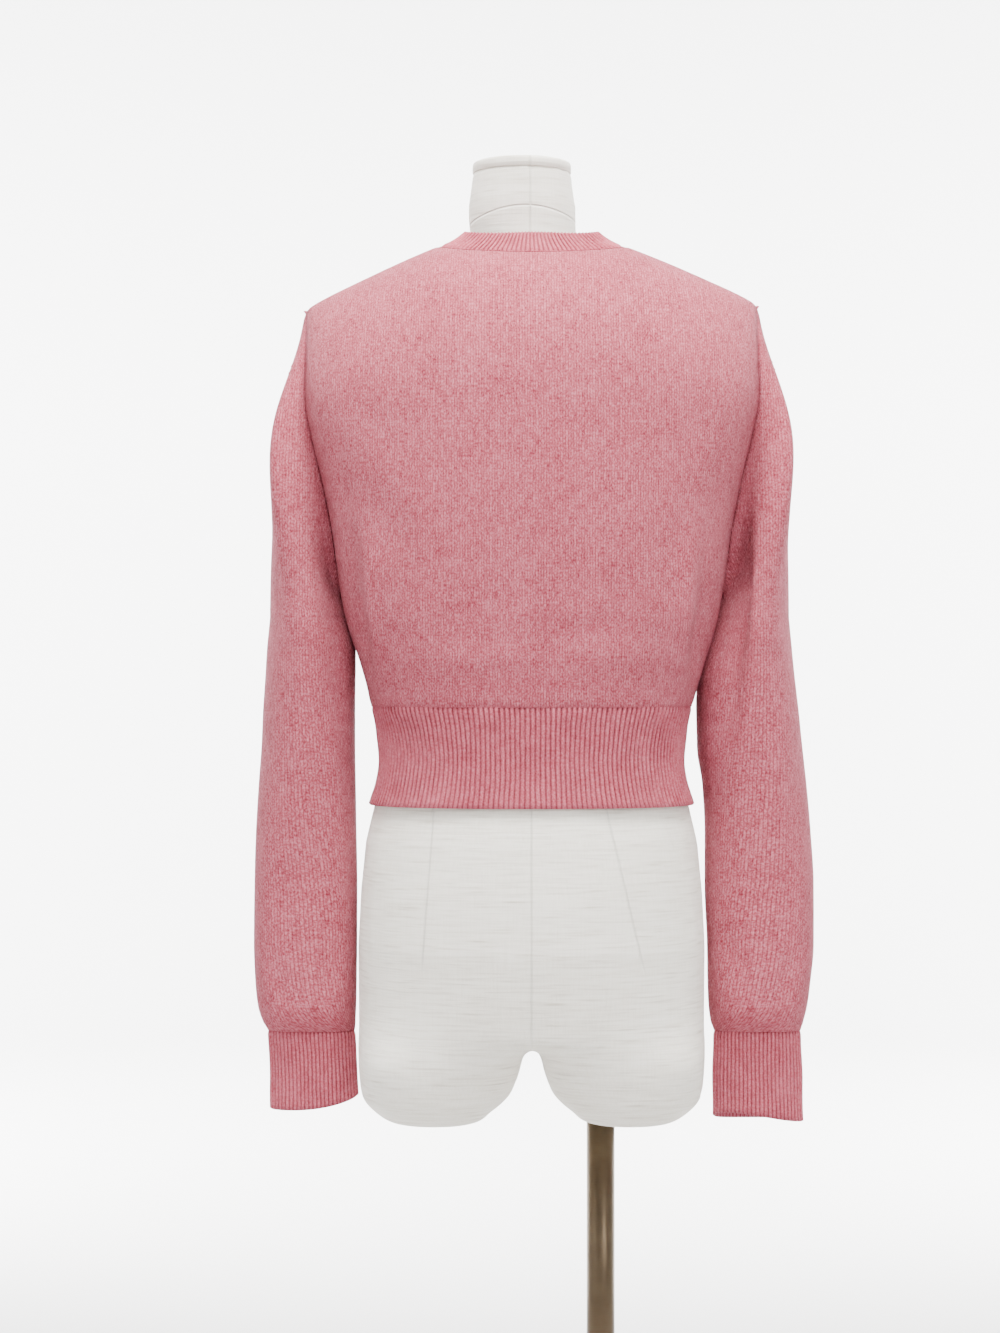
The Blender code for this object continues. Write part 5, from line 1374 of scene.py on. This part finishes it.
# The cuffs: short ribbed tubes, tighter than the sleeves, with a plain cast-on
# edge. Empty, they hang nearly flat and lean a little to one side.
CUFF_RIBS = 54
CUFF_ROWS = 20
CUFF_CURL = {"left": (0.011, 0.0), "right": (0.009, 0.9)}
CUFF_RIB_HEIGHT = 0.85        # share of the hem's
CUFF_WANDER = 0.7             # share of the hem's
for side_name, side, table in (("left", 1.0, SLEEVE_LEFT), ("right", -1.0, SLEEVE_RIGHT)):
    fine = np.linspace(0.0, 2 * np.pi, FINE_TURNS)
    run = run_along(sleeve_ring(table, side, CUFF_TOP, fine))
    angle = np.interp(np.linspace(0.0, run[-1], CUFF_RIBS * POINTS_TO_A_RIB + 1), run, fine)
    bottom = table.values[0, 0]
    heights = np.linspace(CUFF_TOP, bottom + 0.0006, CUFF_ROWS)
    grid = np.array([sleeve_ring(table, side, height, angle) for height in heights])
    # The open end is not cut level: it curls up a little where the cuff lies slack.
    curl, curl_turn = CUFF_CURL[side_name]
    share = (CUFF_TOP - grid[..., 2]) / (CUFF_TOP - bottom)
    slack = 0.5 - 0.5 * np.cos(angle + curl_turn)
    grid[..., 2] += curl * share ** 2 * slack[None, :] ** 3
    outward = tube_normals(grid) * side
    outward[:, -1] = outward[:, 0] = unit(outward[:, 1] + outward[:, -2])
    ribs = cast_on_ribs(grid.shape[1], heights, bottom) * CUFF_RIB_HEIGHT
    uv = rib_uv(grid)
    roll = seam_dip(grid, [grid[0]], *RIB_ROLL)
    grid = grid + outward * (rib_wander(grid, 0.4) * CUFF_WANDER - roll)[..., None]
    cuff = cloth_shell("cuff_rib_" + side_name, grid, outward, uv, rib_knit, raised=ribs)
    sew_on(cuff, "cuff_" + side_name)


# The seams' stitches: the edges are linked loop by loop with the same yarn, and
# small marks follow the armholes where the sleeves' caps were narrowed. Geometry
# Nodes lay each row of stitches along the line of its seam.
STITCH_SPACING = 0.0024
STITCH_SIZE = (0.0023, 0.0010, 0.0008)
MARK_SPACING = 0.0085
MARK_SIZE = (0.0024, 0.0015, 0.0010)
MARKS_ABOVE = 0.890
STITCH_SINK = 0.0007
NECK_SINK = 1.4               # the neckline's stitches lie that much deeper
LINE_POINTS = 240
LINKING_PINK = (0.40, 0.075, 0.098)
FLECK_STEPS = (700.0, 700.0, 700.0)


def stitch_tree():
    """Geometry Nodes: even, slightly uneven stitches along a line on the cloth."""
    tree = bpy.data.node_groups.new("stitches_along_a_seam", "GeometryNodeTree")
    tree.interface.new_socket("Line", in_out="INPUT", socket_type="NodeSocketGeometry")
    for name, kind in (("Spacing", "NodeSocketFloat"), ("Size", "NodeSocketVector"),
                       ("Seed", "NodeSocketInt"), ("Yarn", "NodeSocketMaterial")):
        tree.interface.new_socket(name, in_out="INPUT", socket_type=kind)
    tree.interface.new_socket("Stitches", in_out="OUTPUT", socket_type="NodeSocketGeometry")

    def node(kind, **settings):
        made = tree.nodes.new("GeometryNode" + kind)
        for key, value in settings.items():
            setattr(made, key, value)
        return made

    def link(source, target):
        tree.links.new(source, target)

    given = tree.nodes.new("NodeGroupInput").outputs
    result = tree.nodes.new("NodeGroupOutput").inputs
    curve = node("MeshToCurve")
    even = node("ResampleCurve", mode="LENGTH")
    link(given["Line"], curve.inputs["Mesh"])
    link(curve.outputs["Curve"], even.inputs["Curve"])
    link(given["Spacing"], even.inputs["Length"])
    bead = node("MeshUVSphere")
    bead.inputs["Segments"].default_value = 6
    bead.inputs["Rings"].default_value = 4
    bead.inputs["Radius"].default_value = 0.5
    sized = node("Transform")
    link(bead.outputs["Mesh"], sized.inputs["Geometry"])
    link(given["Size"], sized.inputs["Scale"])
    away = node("InputNamedAttribute", data_type="FLOAT_VECTOR")
    away.inputs["Name"].default_value = "away"
    tangent = node("InputTangent")
    along = tree.nodes.new("FunctionNodeAlignRotationToVector")
    along.axis = "X"
    link(tangent.outputs["Tangent"], along.inputs["Vector"])
    laid = tree.nodes.new("FunctionNodeAlignRotationToVector")
    laid.axis = "Z"
    laid.pivot_axis = "X"
    link(along.outputs["Rotation"], laid.inputs["Rotation"])
    link(away.outputs["Attribute"], laid.inputs["Vector"])
    uneven = tree.nodes.new("FunctionNodeRandomValue")
    uneven.data_type = "FLOAT_VECTOR"
    uneven.inputs["Min"].default_value = (0.85, 0.85, 0.85)
    uneven.inputs["Max"].default_value = (1.10, 1.15, 1.15)
    link(given["Seed"], uneven.inputs["Seed"])
    placed = node("InstanceOnPoints")
    link(even.outputs["Curve"], placed.inputs["Points"])
    link(sized.outputs["Geometry"], placed.inputs["Instance"])
    link(laid.outputs["Rotation"], placed.inputs["Rotation"])
    link(uneven.outputs["Value"], placed.inputs["Scale"])
    real = node("RealizeInstances")
    link(placed.outputs["Instances"], real.inputs["Geometry"])
    smooth = node("SetShadeSmooth")
    link(real.outputs["Geometry"], smooth.inputs["Geometry"])
    painted = node("SetMaterial")
    link(smooth.outputs["Geometry"], painted.inputs["Geometry"])
    link(given["Yarn"], painted.inputs["Material"])
    link(painted.outputs["Geometry"], result["Stitches"])
    return tree


def seam_stitches(name, lines, spacing, size, seed):
    """Stitches along some lines, each given as points and outward directions."""
    points = np.concatenate([line for line, _ in lines])
    directions = np.concatenate([away for _, away in lines])
    edges = []
    for line, _ in lines:
        first = edges[-1][1] + 1 if edges else 0
        edges += [(first + k, first + k + 1) for k in range(len(line) - 1)]
    mesh = bpy.data.meshes.new(name + "_line")
    mesh.from_pydata([tuple(point) for point in points], edges, [])
    stored = mesh.attributes.new("away", "FLOAT_VECTOR", "POINT")
    stored.data.foreach_set("vector", directions.astype(np.float32).ravel())
    holder = bpy.data.objects.new(name, mesh)
    bpy.context.scene.collection.objects.link(holder)
    modifier = holder.modifiers.new("stitches", "NODES")
    modifier.node_group = stitches
    wanted = {"Spacing": spacing, "Size": size, "Seed": seed, "Yarn": linking_yarn}
    for item in stitches.interface.items_tree:
        if item.name in wanted:
            modifier[item.identifier] = wanted[item.name]
    seen = holder.evaluated_get(bpy.context.evaluated_depsgraph_get())
    plain = bpy.data.meshes.new_from_object(seen)
    plain.name = name
    holder.modifiers.clear()
    holder.data = plain
    bpy.data.meshes.remove(mesh)
    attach(holder, "root")


def level_line(level, turns):
    """Points and directions of a line round the body at one level."""
    level = np.full(len(turns), level)
    return body_points(turns, level), body_normals(turns, level)


linking_yarn, shader = plain_material("linking_yarn", LINKING_PINK, 0.85)
brush = Brush(linking_yarn, shader)
flecks = brush.noise(brush.place(), FLECK_STEPS, 2.0)
brush.paint(brush.ramp(flecks, (0.35, PINK_DEEP), (0.65, PINK)))
brush.bump(flecks, 1.0, 0.0002)
stitches = stitch_tree()

sunk = neck_away * STITCH_SINK * NECK_SINK
seam_stitches("neckline_stitches", [(neck_line - sunk, neck_away)],
              STITCH_SPACING, STITCH_SIZE, 1)

hem_lines = []
for turns in (np.linspace(hem_start, 0.0, LINE_POINTS), np.linspace(0.0, -hem_start, LINE_POINTS)):
    points, away = level_line(HEM_TOP, turns)
    hem_lines.append((points - away * STITCH_SINK, away))
seam_stitches("hem_stitches", hem_lines, STITCH_SPACING, STITCH_SIZE, 2)

for side_name, side in (("left", 1.0), ("right", -1.0)):
    parts = np.linspace(0.0, 1.0, LINE_POINTS)
    bite, level = armhole(parts)
    turns = np.concatenate((90 - bite[::-1], 90 + bite[1:-1])) * side
    level = np.concatenate((level[::-1], level[1:-1]))
    points, away = body_points(turns, level), body_normals(turns, level)
    points = points + crease(points) - away * STITCH_SINK
    points[:, 2] -= corner_tuck(points)
    seam_stitches(f"armhole_{side_name}_stitches", [(points, away)],
                  STITCH_SPACING, STITCH_SIZE, 3)
    line, away = mark_lines[side_name]
    upper = line[:, 2] > MARKS_ABOVE
    seam_stitches(f"cap_{side_name}_marks", [(line[upper], away[upper])],
                  MARK_SPACING, MARK_SIZE, 4)


# The buttons: moulded in glossy pink, turned with a raised rim, and sewn on
# with pink thread through four holes. Six close the front bands and the
# seventh the neckband.
BUTTON_HEIGHTS = (0.600, 0.662, 0.724, 0.786, 0.848, 0.910)
BUTTON_PROFILE = (            # radius and height, from its flat back to its dished middle
    (0.0055, 0.0), (0.0068, 0.0003), (0.0074, 0.0010), (0.0075, 0.0018), (0.0072, 0.0026),
    (0.0066, 0.0030), (0.0059, 0.0028), (0.0053, 0.0022), (0.0047, 0.00205), (0.0036, 0.0020),
)
BUTTON_PINK = (0.66, 0.30, 0.38)
BUTTON_DARK = (0.58, 0.24, 0.31)
BUTTON_PALE = (0.78, 0.46, 0.53)
SWIRL_STEPS = (260.0, 260.0, 260.0)
HOLE_RADIUS = 0.0008
HOLE_OFFSET = 0.0015          # of each hole from both middle lines
THREAD_RADIUS = 0.00023
STRAND_OFFSET = 0.00022       # of each strand from the middle of its pair
THREAD_SIDES = 6
THREAD_RINGS = 9
THREAD_LEVEL = 0.0014
THREAD_RISE = 0.0012
THREAD_CROSSING = 0.0002      # how much higher the upper pair of strands lies
button_gloss, shader = plain_material("button_gloss", BUTTON_PINK, 0.22)
shader.inputs["Coat Weight"].default_value = 0.5
shader.inputs["Coat Roughness"].default_value = 0.08
shader.inputs["Subsurface Weight"].default_value = 0.15
shader.inputs["Subsurface Radius"].default_value = (0.002, 0.001, 0.001)
brush = Brush(button_gloss, shader)
swirl = brush.noise(brush.place(), SWIRL_STEPS, 2.0, distortion=1.5)
brush.paint(brush.ramp(swirl, (0.35, BUTTON_DARK), (0.70, BUTTON_PALE)))
thread_pink = plain_material("sewing_thread", (0.50, 0.20, 0.26), 0.7)[0]


def button_shape():
    """A turned button with four holes, flat side down, its middle at the origin."""
    body = turned_mesh("button_body", BUTTON_PROFILE, (0.0, 0.0), 40, button_gloss)
    drill = turned_mesh("button_drill", ((HOLE_RADIUS, -0.001), (HOLE_RADIUS, 0.004)), (0.0, 0.0),
                        12, button_gloss)
    for x, y in ((1, 1), (1, -1), (-1, 1), (-1, -1)):
        hole = drill.copy()
        hole.data = drill.data.copy()
        bpy.context.collection.objects.link(hole)
        hole.location = (x * HOLE_OFFSET, y * HOLE_OFFSET, 0.0)
        cut = body.modifiers.new("hole", "BOOLEAN")
        cut.operation = "DIFFERENCE"
        cut.object = hole
        made = bpy.data.meshes.new_from_object(
            body.evaluated_get(bpy.context.evaluated_depsgraph_get()))
        body.modifiers.clear()
        body.data = made
        bpy.data.objects.remove(hole)
    bpy.data.objects.remove(drill)
    shape = body.data
    bpy.data.objects.remove(body)
    return shape


def thread_shape():
    """Two crossed loops of thread over the holes of a button."""
    points = []
    faces = []
    for lean in (1, -1):
        for strand in (-STRAND_OFFSET, STRAND_OFFSET):
            start = np.array((-HOLE_OFFSET, -HOLE_OFFSET * lean))
            stop = np.array((HOLE_OFFSET, HOLE_OFFSET * lean))
            along = unit(stop - start)
            beside = np.array((-along[1], along[0]))
            first = len(points)
            for ring in range(THREAD_RINGS):
                part = ring / (THREAD_RINGS - 1)
                centre = start * (1 - part) + stop * part + beside * strand
                height = THREAD_LEVEL + THREAD_RISE * math.sin(math.pi * part) ** 0.5
                height += THREAD_CROSSING * (lean > 0)
                for step in range(THREAD_SIDES):
                    turn = 2 * math.pi * step / THREAD_SIDES
                    across = beside * math.cos(turn) * THREAD_RADIUS
                    points.append((*(centre + across), height + THREAD_RADIUS * math.sin(turn)))
            walls = ring_faces(THREAD_RINGS, THREAD_SIDES)
            ends = [tuple(reversed(range(THREAD_SIDES)))]
            ends.append(tuple(range((THREAD_RINGS - 1) * THREAD_SIDES, THREAD_RINGS * THREAD_SIDES)))
            faces += [tuple(first + k for k in face) for face in walls + ends]
    return points, faces


button_mesh = button_shape()
thread_points, thread_faces = thread_shape()
middle_line = over_grid[:, over_grid.shape[1] // 2]
middle_out = over_outward[:, over_grid.shape[1] // 2]
places = []
for height in BUTTON_HEIGHTS:
    spot = np.array([np.interp(height, middle_line[:, 2], middle_line[:, k]) for k in range(3)])
    facing = np.array([np.interp(height, middle_line[:, 2], middle_out[:, k]) for k in range(3)])
    places.append((spot, unit(facing)))
for number in range(1, 8):
    low, high = (np.array(corner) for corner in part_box(f"button_{number}"))
    if number == 7:
        spot = (low + high) / 2
        facing = unit(np.array((0.0, -0.72, 0.69)))
        spot = spot - facing * 0.0016
    else:
        spot, facing = places[number - 1]
        spot = spot + facing * 0.0004
    right = unit(np.cross((0.0, 0.0, 1.0), facing))
    up = np.cross(facing, right)
    turn = np.stack((right, up, facing), axis=1)
    button = mesh_object(
        f"button_{number}_turned",
        np.array([turn @ np.array(vertex.co) + spot for vertex in button_mesh.vertices]),
        [tuple(face.vertices) for face in button_mesh.polygons], button_gloss)
    button.data.set_sharp_from_angle(angle=math.radians(50))
    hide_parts(f"button_{number}")
    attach(button, "root")
    thread = mesh_object(
        f"button_{number}_thread",
        np.array([turn @ np.array(point) + spot for point in thread_points]),
        thread_faces, thread_pink)
    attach(thread, "root")
